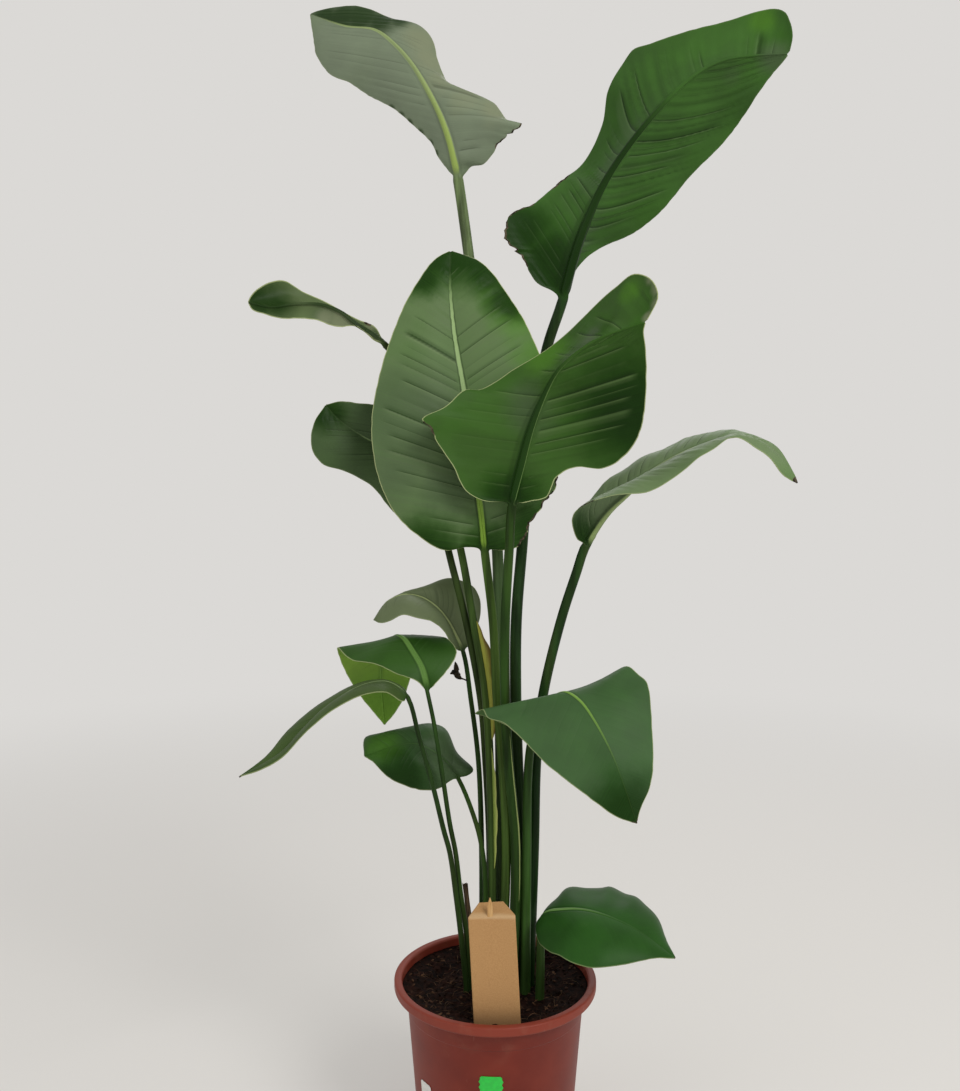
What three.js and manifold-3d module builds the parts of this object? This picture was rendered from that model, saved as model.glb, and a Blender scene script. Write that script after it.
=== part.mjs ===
// A potted bird of paradise: thirteen paddle leaves on long stalks, in a round plant pot.
// Millimetres, +Z up, with the origin at the middle of the pot's base and -Y towards the viewer.

import * as THREE from "three";
import { mergeVertices } from "three/addons/utils/BufferGeometryUtils.js";
import Module from "manifold-3d";

const wasm = await Module();
wasm.setup();

// Driving dimensions of the pot and what fills it
const POT_HEIGHT = 220;
const RIM_RADIUS = 120;
const LIP_WIDTH = 9.5;
const LIP_HEIGHT = 11;
const BODY_TOP_RADIUS = 106;
const BASE_RADIUS = 88;
const POT_WALL = 2;
const SHOULDER_Z = 203;
const RING_Z = 186;
const RING_STEP = 0.8;
const RING_EDGE = 1;
const FOOT_CUT = 3;
const NECK_RISE = 3;
const SEAT_RISE = 4;
const WALL_RISE = 1;
const LIP_CUT = 1;
const LIP_ROUND = 2;
const POT_SIDES = 48;
const SOIL_EDGE_Z = 210;
const SOIL_DIP = 7;
const SOIL_BANK = 50;
const SOIL_TOP_SLACK = 0.1;
const SOIL_RINGS = [1, 0.86, 0.7, 0.52, 0.34, 0.16, 0];
const CLODS = { broad: 0.9, broadSpan: [11, 13], fine: 0.6, fineSpan: 6 };
const SOIL_GAP = 0.6;
const SEAT_GAP = 0.3;
const HOLE_GAP = 0.5;
const ROOT_Z = 140;
const COLLAR_Z = 212;
const HOLE_RISE = 20;

// Driving dimensions of the leaves
const BLADE_THICKNESS = 1.1;
const BLADE_END = 0.985;
const BLADE_BASE = 0.05;
const RIB_END = 0.5;
const RIB_TAPER = 0.9;
const RIB_SHARE = [0.06, 0.3];
const LEFT_WAVE_LAG = 0.37;
const STEP_CROWDING = 1.25;
const CURVE_STEPS = 40;
const NORMAL_STEP = 0.004;

// Driving dimensions of the tag and its peg
const TAG_WIDTH = 52;
const TAG_TOP_Z = 326;
const TAG_FOOT_Z = 165;
const TAG_SLOT = 3;
const TAG_Y = -86;
const TAG_X = 1;
const TAG_LEAN = 0.052;
const TAG_THICKNESS = 1.2;
const FLAP_WIDTH = 27;
const FLAP_RISE = 9;
const FLAP_BACK = 17;
const PEG_WIDTH = 6;
const PEG_THICKNESS = 2.6;
const PEG_TOP_Z = 347;
const PEG_X = -7;
const PEG_TAPER = 13;
const PEG_POINT = 0.45;
const PEG_FOOT_Z = 150;
const SLOT_RISE = 10;

// Driving dimensions of the labels on the pot's front
const LABEL_THICKNESS = 0.6;
const LABEL_STEPS = 5;
const GREEN_LABEL = { x: -6, width: 28, top: 156, bottom: 136, color: 0x1fd043 };
const WHITE_LABEL = { x: -80, width: 17, top: 123, bottom: 101, color: 0xe8e8e6 };

// Each leaf: its stalk from the soil to the blade, the blade's midrib from there to the tip, and the
// two margins between those ends. Left and right are as seen on the upper face with the tip up.
// thick is the stalk's radius at the soil and at the blade; wave is the height, the number and the
// start of the ripples along a margin; belly is the rise between the midrib and each margin.
const LEAVES = [
  {
    name: "leaf_top_left",
    thick: [7, 6.6],
    stalk: [
      [8, 10], [8, 9, 367], [6, 18, 546], [3, 36, 726], [-9, 56, 885], [-22, 70, 1009],
      [-32, 78, 1091],
    ],
    rib: [
      [-45, 86, 1184], [-49, 78, 1203], [-56, 72, 1230], [-67, 68, 1259], [-82, 66, 1288],
      [-102, 68, 1321], [-124, 74, 1347], [-149, 86, 1369], [-187, 100, 1380], [-234, 116, 1403],
    ],
    left: [
      [-55, 84, 1193], [-68, 86, 1210], [-79, 88, 1231], [-105, 90, 1257], [-128, 92, 1276],
      [-156, 94, 1291], [-181, 96, 1308], [-205, 98, 1319], [-223, 102, 1344], [-230, 110, 1380],
    ],
    right: [
      [-38, 84, 1185], [-30, 86, 1201], [-13, 84, 1204], [-1, 82, 1217], [7, 80, 1228], [19, 78, 1236],
      [37, 76, 1249], [17, 80, 1256], [-2, 84, 1279], [-37, 86, 1289], [-58, 88, 1304],
      [-70, 88, 1331], [-76, 90, 1358], [-93, 94, 1377], [-124, 98, 1388], [-168, 102, 1405],
      [-197, 108, 1408], [-220, 112, 1406],
    ],
    wave: [1, 6, 0.1],
    belly: [0.1, 0.1],
  },
  {
    name: "leaf_top_right",
    thick: [7.5, 6.2],
    stalk: [
      [25, 8], [29, 6, 368], [25, 22, 546], [26, 32, 641], [33, 42, 726], [44, 50, 848], [62, 44, 966],
    ],
    rib: [
      [80, 35, 1022], [100, 10, 1092], [125, -10, 1150], [160, -35, 1197], [213, -54, 1248],
      [246, -60, 1264], [280, -66, 1267], [315, -74, 1265],
    ],
    left: [
      [95, 45, 1060], [130, 60, 1095], [170, 50, 1110], [195, 35, 1128], [232, 10, 1168],
      [268, -20, 1202], [288, -55, 1232], [302, -66, 1250], [310, -72, 1259],
    ],
    right: [
      [63, 32, 1038], [50, 30, 1045], [37, 29, 1063], [26, 28, 1078], [10, 26, 1096], [13, 28, 1120],
      [22, 32, 1131], [46, 40, 1142], [79, 50, 1171], [106, 58, 1195], [129, 40, 1238],
      [132, 20, 1263], [136, 10, 1273], [146, 0, 1288], [156, -10, 1300], [174, -20, 1302],
      [216, -36, 1308], [257, -50, 1313], [286, -62, 1317], [308, -74, 1311], [317, -78, 1285],
    ],
    wave: [1, 5, 0],
    belly: [0.1, 0.1],
  },
  {
    name: "leaf_upper_left",
    thick: [5, 4],
    stalk: [
      [-7, 17], [-6, 14, 370], [-11, 12, 475], [-17, 12, 548], [-35, 15, 643], [-56, 24, 726],
      [-72, 46, 796], [-96, 62, 873], [-104, 62, 928], [-117, 60, 958],
    ],
    rib: [
      [-133, 56, 975], [-149, 50, 987], [-167, 46, 998], [-187, 42, 1013], [-210, 38, 1021],
      [-240, 34, 1021], [-266, 27, 1016], [-293, 20, 1020],
    ],
    left: [
      [-139, 60, 986], [-146, 62, 998], [-155, 64, 1004], [-164, 64, 1007], [-184, 62, 1017],
      [-214, 60, 1032], [-234, 56, 1041], [-255, 46, 1052], [-270, 38, 1048], [-283, 30, 1039],
      [-291, 24, 1028],
    ],
    right: [
      [-146, 50, 980], [-161, 48, 992], [-171, 46, 997], [-185, 42, 995], [-199, 40, 997],
      [-213, 38, 1002], [-234, 36, 1004], [-255, 32, 1003], [-274, 27, 1007], [-289, 23, 1012],
    ],
    wave: [0.5, 3, 0],
    belly: [0.25, 0.1],
  },
  {
    name: "leaf_middle_left",
    thick: [5.5, 4.4],
    stalk: [[-6, 0], [-4, -3, 371], [-11, 2, 550], [-26, 8, 644], [-41, 16, 727], [-52, 20, 768]],
    rib: [
      [-64, 24, 796], [-84, 28, 825], [-108, 30, 844], [-132, 30, 852], [-150, 28, 858],
      [-170, 25, 870], [-187, 20, 883], [-201, 15, 899],
    ],
    left: [
      [-76, 22, 777], [-100, 24, 762], [-121, 26, 771], [-147, 25, 802], [-179, 18, 820],
      [-205, 10, 829], [-217, 8, 850], [-214, 10, 877],
    ],
    right: [
      [-65, 30, 825], [-84, 32, 865], [-108, 28, 888], [-131, 22, 898], [-158, 18, 901],
      [-184, 15, 903],
    ],
    wave: [1, 3, 0],
    belly: [0.1, 0.1],
  },
  {
    name: "leaf_tall_centre",
    thick: [5.5, 5],
    stalk: [[7, -9], [13, -8, 373], [8, -8, 480], [2, -8, 552], [-3, -8, 646]],
    rib: [
      [-12, -8, 722], [-17, -14, 770], [-25, -16, 828], [-36, -12, 908], [-48, 0, 980],
      [-53, 15, 1035], [-53, 32, 1084],
    ],
    left: [
      [-30, -15, 731], [-60, -22, 728], [-87, -26, 743], [-115, -30, 770], [-132, -32, 805],
      [-141, -32, 850], [-140, -28, 893], [-125, -14, 960], [-100, 8, 1027], [-73, 26, 1071],
    ],
    right: [
      [5, -14, 727], [28, -16, 733], [45, -16, 765], [68, -14, 795], [78, -12, 838], [75, -6, 900],
      [50, 4, 962], [20, 18, 1022], [-18, 28, 1070],
    ],
    wave: [1.5, 6, 0],
    belly: [0.1, 0.1],
  },
  {
    name: "leaf_front_right",
    thick: [6.5, 5.2],
    stalk: [[20, -14], [24, -14, 375], [15, -20, 484], [11, -26, 555], [11, -32, 649], [15, -40, 729]],
    rib: [
      [18, -44, 778], [27, -56, 820], [39, -72, 866], [56, -92, 908], [66, -108, 924], [83, -118, 939],
      [106, -128, 952], [151, -142, 966],
    ],
    left: [
      [38, -48, 784], [57, -48, 789], [68, -50, 811], [88, -54, 822], [118, -62, 820], [141, -72, 834],
      [155, -86, 858], [158, -104, 896], [155, -122, 936], [150, -136, 957],
    ],
    right: [
      [1, -46, 782], [-18, -50, 786], [-35, -54, 797], [-48, -60, 823], [-65, -66, 848],
      [-74, -70, 864], [-82, -74, 873], [-56, -62, 889], [-35, -54, 908], [-18, -48, 909],
      [17, -38, 931], [55, -34, 954], [95, -50, 987], [127, -86, 1013], [143, -112, 1022],
      [157, -130, 1013], [163, -144, 991], [156, -146, 975],
    ],
    wave: [0.8, 5, 0],
    belly: [0.1, 0.1],
  },
  {
    name: "leaf_right",
    thick: [6.8, 6],
    stalk: [[41, 10], [46, 5, 369], [49, 10, 476], [56, 12, 548], [78, 12, 643], [97, 11, 703]],
    rib: [
      [105, 10, 728], [118, 10, 752], [134, 10, 774], [153, 9, 792], [188, 6, 823], [235, 3, 848],
      [285, 0, 861], [315, -5, 851], [336, -10, 830], [350, -15, 804],
    ],
    left: [
      [100, 20, 755], [117, 38, 790], [163, 55, 828], [210, 60, 850], [253, 55, 866], [283, 45, 869],
      [313, 25, 860], [334, 5, 845], [345, -8, 820],
    ],
    right: [
      [92, -8, 747], [88, -28, 766], [105, -42, 784], [148, -50, 792], [185, -50, 800],
      [210, -48, 820], [235, -42, 836], [268, -30, 856], [304, -25, 842], [330, -20, 815],
    ],
    wave: [1.5, 7, 0],
    belly: [0.1, 0.1],
  },
  {
    name: "leaf_inner_left",
    thick: [3.6, 2.8],
    stalk: [[-16, 8], [-16, 8, 367], [-20, 20, 473], [-29, 29, 544]],
    rib: [
      [-38, 36, 600], [-48, 38, 622], [-59, 42, 641], [-72, 43, 656], [-90, 40, 668], [-110, 32, 672],
      [-130, 22, 664], [-145, 12, 643],
    ],
    left: [
      [-50, 30, 608], [-66, 18, 635], [-84, 2, 645], [-107, -6, 651], [-122, -6, 645], [-136, 2, 641],
    ],
    right: [
      [-24, 45, 622], [-17, 55, 655], [-25, 60, 678], [-54, 60, 690], [-84, 55, 681], [-112, 45, 669],
      [-132, 30, 659],
    ],
    wave: [0.8, 4, 0],
    belly: [0.1, 0.1],
  },
  {
    name: "leaf_low_left_hanging",
    thick: [3.4, 2.4],
    stalk: [
      [-30, 0], [-34, -3, 269], [-41, -7, 320], [-47, -12, 373], [-53, -20, 407], [-63, -34, 482],
      [-71, -34, 531],
    ],
    rib: [
      [-78, -30, 563], [-85, -24, 592], [-98, -12, 612], [-109, 2, 624], [-120, 20, 624],
      [-134, 40, 606], [-140, 50, 575], [-136, 50, 508],
    ],
    left: [
      [-90, -34, 578], [-113, -35, 587], [-138, -31, 597], [-168, -15, 600], [-188, 10, 611],
      [-183, 34, 580], [-165, 46, 545], [-150, 50, 525],
    ],
    right: [
      [-70, -28, 573], [-56, -20, 588], [-45, -5, 608], [-58, 14, 621], [-72, 35, 615], [-98, 48, 580],
      [-113, 52, 540], [-124, 52, 522],
    ],
    wave: [0.8, 3, 0],
    belly: [0.02, 0.02],
  },
  {
    name: "leaf_low_left_front",
    thick: [3.6, 2.7],
    stalk: [
      [-34, -8.5], [-40, -10, 269], [-46, -13, 320], [-53, -18, 373], [-60, -26, 403], [-72, -40, 460],
      [-87, -46, 517],
    ],
    rib: [
      [-99, -50, 562], [-110, -52, 575], [-124, -56, 582], [-145, -60, 580], [-168, -65, 570],
      [-190, -70, 554], [-210, -76, 535], [-235, -85, 510], [-280, -98, 485],
    ],
    left: [
      [-105, -68, 562], [-120, -84, 575], [-137, -92, 575], [-158, -98, 569], [-180, -104, 558],
      [-200, -108, 540], [-230, -108, 510], [-258, -104, 493],
    ],
    right: [
      [-105, -38, 570], [-128, -32, 577], [-155, -30, 574], [-180, -34, 563], [-212, -42, 546],
      [-232, -54, 529], [-252, -76, 505],
    ],
    wave: [0.8, 3, 0],
    belly: [0.1, 0.1],
  },
  {
    name: "leaf_low_inner",
    thick: [3.4, 2.6],
    stalk: [[-15, -8], [-12, -10, 338], [-17, -9, 383], [-27, -4, 417]],
    rib: [
      [-43, 2, 454], [-57, -1, 475], [-72, -4, 489], [-93, -6, 499], [-118, -8, 497], [-154, -10, 485],
    ],
    left: [
      [-49, -6, 457], [-65, -14, 449], [-82, -18, 447], [-105, -20, 453], [-126, -20, 464],
      [-142, -16, 479],
    ],
    right: [
      [-26, 12, 463], [-46, 26, 481], [-60, 38, 506], [-79, 42, 512], [-111, 38, 506], [-137, 28, 503],
      [-156, 12, 502],
    ],
    wave: [0.6, 3, 0],
    belly: [0.2, 0.2],
  },
  {
    name: "leaf_low_front",
    thick: [6.8, 5],
    stalk: [[35, -9], [37, -8, 374], [38, -10, 457]],
    rib: [
      [42, -14, 503], [51, -20, 536], [65, -32, 559], [79, -46, 568], [94, -62, 561], [109, -82, 541],
      [125, -98, 510], [136, -108, 480], [149, -118, 440],
    ],
    left: [
      [71, -8, 518], [114, -6, 557], [142, -11, 587], [155, -14, 593], [164, -22, 586],
      [173, -32, 578], [175, -40, 568], [174, -62, 538], [171, -92, 497], [166, -102, 477],
      [154, -112, 456],
    ],
    right: [
      [26, -26, 518], [5, -36, 531], [-15, -42, 541], [-24, -50, 545], [-15, -60, 551],
      [-10, -66, 543], [6, -72, 539], [24, -82, 527], [40, -90, 512], [52, -94, 500], [88, -106, 474],
      [125, -116, 449],
    ],
    wave: [0.8, 3, 0],
    belly: [0, 0],
  },
  {
    name: "leaf_bottom_right",
    thick: [5.3, 4.6],
    stalk: [[52, -24], [53, -21, 262]],
    rib: [
      [53, -15, 289], [56, -20, 301], [64, -26, 308], [77, -32, 312], [93, -38, 315], [110, -44, 315],
      [132, -50, 310], [163, -60, 298], [201, -72, 273],
    ],
    left: [
      [62, -4, 298], [70, 8, 302], [77, 16, 305], [86, 26, 312], [95, 32, 313], [114, 33, 311],
      [133, 33, 311], [141, 32, 313], [159, 26, 307], [171, 18, 307], [181, 6, 301], [192, -16, 293],
      [197, -46, 279],
    ],
    right: [
      [48, -25, 291], [47, -42, 286], [50, -56, 282], [60, -72, 280], [70, -84, 282], [79, -92, 280],
      [102, -100, 276], [129, -98, 277], [160, -90, 279], [177, -84, 279], [191, -78, 276],
    ],
    wave: [0.5, 4, 0],
    belly: [0.1, 0.1],
  },
];

const BIG_LEAVES = [
  "leaf_top_left", "leaf_top_right", "leaf_tall_centre", "leaf_front_right", "leaf_low_front",
];
const FINE = { columns: [0.38, 0.7, 1], stalkSteps: 8, bladeSteps: 20 };
const COARSE = { columns: [0.5, 1], stalkSteps: 7, bladeSteps: 16 };

// The dried stump of a cut stalk
const STUB = {
  radius: 3.7,
  topRadius: 3.3,
  steps: 4,
  path: [[-26, 10], [-28, 10, 245], [-32, 8, 290], [-36, 6, 328]],
};

// Materials
function leafMaterial() {
  return new THREE.MeshStandardMaterial({ color: 0x2f5c22, roughness: 0.42, metalness: 0 });
}

function potMaterial() {
  return new THREE.MeshStandardMaterial({ color: 0xa2492e, roughness: 0.5, metalness: 0 });
}

function soilMaterial() {
  return new THREE.MeshStandardMaterial({ color: 0x2a1f18, roughness: 0.95, metalness: 0 });
}

function stubMaterial() {
  return new THREE.MeshStandardMaterial({ color: 0x4a3a26, roughness: 0.85, metalness: 0 });
}

function cardMaterial() {
  return new THREE.MeshStandardMaterial({ color: 0xc2a076, roughness: 0.85, metalness: 0 });
}

function woodMaterial() {
  return new THREE.MeshStandardMaterial({ color: 0xc79e62, roughness: 0.7, metalness: 0 });
}

function labelMaterial(color) {
  return new THREE.MeshStandardMaterial({ color, roughness: 0.5, metalness: 0 });
}

// Points, curves and skins
function vector([x, y, z = COLLAR_Z]) {
  return new THREE.Vector3(x, y, z);
}

function curveThrough(points) {
  const curve = new THREE.CatmullRomCurve3(points.map(vector), false, "centripetal");
  curve.arcLengthDivisions = points.length * CURVE_STEPS;
  return curve;
}

function smooth(t) {
  const c = THREE.MathUtils.clamp(t, 0, 1);
  return c * c * (3 - 2 * c);
}

// A closed skin over rings with the same number of points, closed at both ends by strips. Each ring
// runs over the upper side from left to right and comes back under it. The two sides of a blade are
// split along the same diagonals, so that its faces stay apart where it is waved.
function skin(rings) {
  const count = rings[0].length;
  const corners = [];
  const add = (a, b, c) => corners.push(a, b, c);
  for (let i = 0; i + 1 < rings.length; i += 1) {
    for (let j = 0; j < count; j += 1) {
      const k = (j + 1) % count;
      const [a, b, c, d] = [rings[i][j], rings[i][k], rings[i + 1][k], rings[i + 1][j]];
      if (j < count / 2) {
        add(a, b, c);
        add(a, c, d);
      } else {
        add(a, b, d);
        add(b, c, d);
      }
    }
  }
  const first = rings[0];
  const last = rings[rings.length - 1];
  for (let j = 0; j + 1 < count / 2; j += 1) {
    const [p, q] = [count - 1 - j, count - 2 - j];
    add(last[j], last[j + 1], last[q]);
    add(last[j], last[q], last[p]);
    add(first[j], first[q], first[j + 1]);
    add(first[j], first[p], first[q]);
  }
  const geometry = new THREE.BufferGeometry();
  const places = corners.flatMap((p) => p.toArray());
  geometry.setAttribute("position", new THREE.Float32BufferAttribute(places, 3));
  return mergeVertices(geometry);
}

// A round ring of points about a centre, starting at the left and going over the upper side
function roundRing(centre, side, up, radius, count) {
  const ring = [];
  for (let j = 0; j < count; j += 1) {
    const angle = Math.PI - ((j + 0.5) * 2 * Math.PI) / count;
    const point = centre.clone();
    point.addScaledVector(side, radius * Math.cos(angle));
    point.addScaledVector(up, radius * Math.sin(angle));
    ring.push(point);
  }
  return ring;
}

// The two directions across a stalk that runs along a tangent, turned as near as can be to a side
function crossFrame(tangent, side) {
  const across = side.clone().addScaledVector(tangent, -side.dot(tangent)).normalize();
  const up = new THREE.Vector3().crossVectors(across, tangent).normalize();
  return [across, up];
}

// Leaves
class Leaf {
  constructor(spec) {
    this.spec = spec;
    this.detail = BIG_LEAVES.includes(spec.name) ? FINE : COARSE;
    this.line = curveThrough([...spec.stalk, ...spec.rib]);
    const spans = spec.stalk.length + spec.rib.length - 1;
    const lengths = this.line.getLengths(spans * CURVE_STEPS);
    this.bladeStart = lengths[spec.stalk.length * CURVE_STEPS] / lengths[spans * CURVE_STEPS];
    const base = spec.rib[0];
    const tip = spec.rib[spec.rib.length - 1];
    this.left = curveThrough([base, ...spec.left, tip]);
    this.right = curveThrough([base, ...spec.right, tip]);
    this.side = this.right.getPointAt(BLADE_BASE).sub(this.left.getPointAt(BLADE_BASE)).normalize();
  }

  along(u) {
    return this.bladeStart + (1 - this.bladeStart) * u;
  }

  // A point of the blade's middle sheet, at u from base to tip and q from the left to the right margin
  sheet(u, q) {
    const reach = Math.abs(q);
    const rib = this.line.getPointAt(this.along(u));
    const tangent = this.line.getTangentAt(this.along(u));
    const span = (q < 0 ? this.left : this.right).getPointAt(u).sub(rib);
    const width = span.length();
    const outward = span.clone().multiplyScalar(q < 0 ? -1 : 1);
    const up = outward.cross(tangent).normalize();
    const [height, number, start] = this.spec.wave;
    const turns = number * u + start + (q < 0 ? LEFT_WAVE_LAG : 0);
    const ripple = height * reach ** 2 * Math.sin(2 * Math.PI * turns) * Math.sqrt(4 * u * (1 - u));
    const belly = this.spec.belly[q < 0 ? 0 : 1] * width * 4 * reach * (1 - reach);
    return rib.addScaledVector(span, reach).addScaledVector(up, belly + ripple);
  }

  normal(u, q) {
    const step = NORMAL_STEP;
    const low = THREE.MathUtils.clamp(u, step, 1 - step);
    const across = this.sheet(low, Math.min(q + step, 1)).sub(this.sheet(low, Math.max(q - step, -1)));
    const along = this.sheet(low + step, q).sub(this.sheet(low - step, q));
    return across.cross(along).normalize();
  }

  // How far the rib stands out below the sheet
  ribDepth(u) {
    return RIB_END + (this.spec.thick[1] - RIB_END) * (1 - u) ** RIB_TAPER;
  }

  // The columns of a ring from the left to the right margin, with one each side of the rib
  columns(u) {
    const rib = this.line.getPointAt(this.along(u));
    const column = (margin, sign) => {
      const width = margin.getPointAt(u).distanceTo(rib);
      const edge = THREE.MathUtils.clamp(this.ribDepth(u) / width, ...RIB_SHARE);
      return [edge, ...this.detail.columns.map((c) => edge + (1 - edge) * c)].map((c) => sign * c);
    };
    return [...column(this.left, -1).reverse(), 0, ...column(this.right, 1)];
  }

  bladeRing(u) {
    const columns = this.columns(u);
    const face = (q, offset) => this.sheet(u, q).addScaledVector(this.normal(u, q), offset);
    const half = BLADE_THICKNESS / 2;
    const upper = columns.map((q) => face(q, half));
    const lower = columns.map((q) => face(q, q === 0 ? -half - this.ribDepth(u) : -half));
    return [...upper, ...lower.reverse()];
  }

  stalkRing(t, radius) {
    const [across, up] = crossFrame(this.line.getTangentAt(t), this.side);
    return roundRing(this.line.getPointAt(t), across, up, radius, this.ringCount());
  }

  ringCount() {
    return 4 * (this.detail.columns.length + 1) + 2;
  }

  // The blade's own rings, which grow out of the round stalk over the first few steps
  bladeRings() {
    const rings = [];
    for (let i = 0; i <= this.detail.bladeSteps; i += 1) {
      const u = BLADE_END * (i / this.detail.bladeSteps) ** STEP_CROWDING;
      const blend = smooth(u / BLADE_BASE);
      const round = this.stalkRing(this.along(u), this.spec.thick[1]);
      const flat = blend > 0 ? this.bladeRing(u) : round;
      rings.push(round.map((p, j) => p.lerp(flat[j], blend)));
    }
    return rings;
  }

  stalkRings() {
    const rings = [];
    const [low, high] = this.spec.thick;
    for (let i = 1; i < this.detail.stalkSteps; i += 1) {
      const t = i / this.detail.stalkSteps;
      rings.push(this.stalkRing(this.bladeStart * t, THREE.MathUtils.lerp(low, high, t)));
    }
    return rings;
  }

  rings() {
    const { stalk, thick } = this.spec;
    const root = rootRings(stalk[0], thick[0], this.side, this.ringCount(), ROOT_Z, COLLAR_Z);
    return [...root, ...this.stalkRings(), ...this.bladeRings()];
  }
}

// The two rings of an upright round peg of a stalk
function rootRings([x, y], radius, side, count, low, high) {
  const [across, up] = crossFrame(new THREE.Vector3(0, 0, 1), side);
  return [low, high].map((z) => roundRing(new THREE.Vector3(x, y, z), across, up, radius, count));
}

// The cut stalk
const STUB_SIDE = new THREE.Vector3(1, 0, 0);
const STUB_SIDES = 14;

function stubGeometry() {
  const path = curveThrough(STUB.path);
  const rings = rootRings(STUB.path[0], STUB.radius, STUB_SIDE, STUB_SIDES, ROOT_Z, COLLAR_Z);
  for (let i = 1; i <= STUB.steps; i += 1) {
    const t = i / STUB.steps;
    const [across, up] = crossFrame(path.getTangentAt(t), STUB_SIDE);
    const radius = THREE.MathUtils.lerp(STUB.radius, STUB.topRadius, t);
    rings.push(roundRing(path.getPointAt(t), across, up, radius, STUB_SIDES));
  }
  return skin(rings);
}

// The pot
function bodyRadius(z) {
  return BASE_RADIUS + ((BODY_TOP_RADIUS - BASE_RADIUS) * z) / SHOULDER_Z;
}

// The outside below the faint ring, where the body steps in
function lowerRadius(z) {
  return bodyRadius(z) - (RING_STEP * z) / RING_Z;
}

function latheUp(points) {
  const geometry = new THREE.LatheGeometry(points.map(([r, z]) => new THREE.Vector2(r, z)), POT_SIDES);
  geometry.rotateX(Math.PI / 2);
  return plain(geometry);
}

function plain(geometry) {
  geometry.deleteAttribute("normal");
  geometry.deleteAttribute("uv");
  return mergeVertices(geometry, 1e-3);
}

function potGeometry() {
  const lipInner = RIM_RADIUS - LIP_WIDTH;
  const lipFoot = POT_HEIGHT - LIP_HEIGHT;
  const neck = lipInner + POT_WALL;
  return latheUp([
    [0, 0],
    [BASE_RADIUS - FOOT_CUT, 0],
    [lowerRadius(FOOT_CUT), FOOT_CUT],
    [lowerRadius(RING_Z - RING_EDGE), RING_Z - RING_EDGE],
    [bodyRadius(RING_Z), RING_Z],
    [BODY_TOP_RADIUS, SHOULDER_Z],
    [neck, SHOULDER_Z + NECK_RISE],
    [neck, lipFoot],
    [RIM_RADIUS - LIP_CUT, lipFoot],
    [RIM_RADIUS, lipFoot + LIP_ROUND],
    [RIM_RADIUS, POT_HEIGHT - LIP_ROUND],
    [RIM_RADIUS - LIP_ROUND, POT_HEIGHT],
    [lipInner + LIP_ROUND, POT_HEIGHT],
    [lipInner, POT_HEIGHT - LIP_ROUND],
    [lipInner, SHOULDER_Z + SEAT_RISE],
    [BODY_TOP_RADIUS - POT_WALL, SHOULDER_Z + WALL_RISE],
    [bodyRadius(POT_WALL) - POT_WALL, POT_WALL],
    [0, POT_WALL],
  ]);
}

// The soil's top: level round the rim and lower in the middle, with a slow swell
function soilRelief(x, y) {
  const fromRim = RIM_RADIUS - LIP_WIDTH - Math.hypot(x, y);
  const dip = SOIL_DIP * smooth(fromRim / SOIL_BANK);
  const [spanX, spanY] = CLODS.broadSpan;
  const broad = CLODS.broad * Math.sin(x / spanX + 1) * Math.cos(y / spanY);
  const fine = CLODS.fine * Math.sin((x - y) / CLODS.fineSpan);
  return broad + fine - dip;
}

function soilGeometry(holes) {
  const floor = POT_WALL + SEAT_GAP;
  const foot = bodyRadius(POT_WALL) - POT_WALL - SOIL_GAP;
  const shoulder = BODY_TOP_RADIUS - POT_WALL - SOIL_GAP;
  const edge = RIM_RADIUS - LIP_WIDTH - SOIL_GAP;
  const seat = SHOULDER_Z + SEAT_RISE + SOIL_GAP;
  const profile = [[0, floor], [foot, floor], [shoulder, SHOULDER_Z + WALL_RISE], [edge, seat]];
  for (const share of SOIL_RINGS) {
    profile.push([edge * share, SOIL_EDGE_Z]);
  }
  const geometry = latheUp(profile);
  const position = geometry.getAttribute("position");
  for (let i = 0; i < position.count; i += 1) {
    const [x, y, z] = [position.getX(i), position.getY(i), position.getZ(i)];
    if (z > SOIL_EDGE_Z - SOIL_TOP_SLACK) {
      position.setZ(i, z + soilRelief(x, y));
    }
  }
  let body = solid(geometry);
  for (const hole of holes) {
    body = body.subtract(solid(hole));
  }
  return fromSolid(body);
}

// A plain hole for a stalk of a radius, deeper and wider by the gap and open at the top
function holeGeometry(place, radius, side, count) {
  const wide = (radius + HOLE_GAP) / Math.cos(Math.PI / count);
  return skin(rootRings(place, wide, side, count, ROOT_Z - HOLE_GAP, COLLAR_Z + HOLE_RISE));
}

// The tag, a card whose top is folded back over the peg. It leans in its own plane about the soil.
function tagRow(z, width, y, tilt, thickness = TAG_THICKNESS) {
  const middle = new THREE.Vector3(TAG_X - TAG_LEAN * (z - SOIL_EDGE_Z), y, z);
  const wide = new THREE.Vector3(1, 0, TAG_LEAN).multiplyScalar(width / 2);
  const out = new THREE.Vector3(0, -Math.cos(tilt), Math.sin(tilt)).multiplyScalar(thickness / 2);
  const corner = (sign, face) => middle.clone().addScaledVector(wide, sign).addScaledVector(out, face);
  return [corner(-1, 1), corner(1, 1), corner(1, -1), corner(-1, -1)];
}

function tagGeometry() {
  const fold = Math.atan2(FLAP_BACK, FLAP_RISE);
  const card = skin([
    tagRow(TAG_FOOT_Z, TAG_WIDTH, TAG_Y, 0),
    tagRow(TAG_TOP_Z, TAG_WIDTH, TAG_Y, fold / 2),
    tagRow(TAG_TOP_Z + FLAP_RISE, FLAP_WIDTH, TAG_Y + FLAP_BACK, fold),
  ]);
  const slot = skin(pegRings(SEAT_GAP, PEG_TOP_Z + SLOT_RISE));
  return fromSolid(solid(card).subtract(solid(slot)));
}

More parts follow.
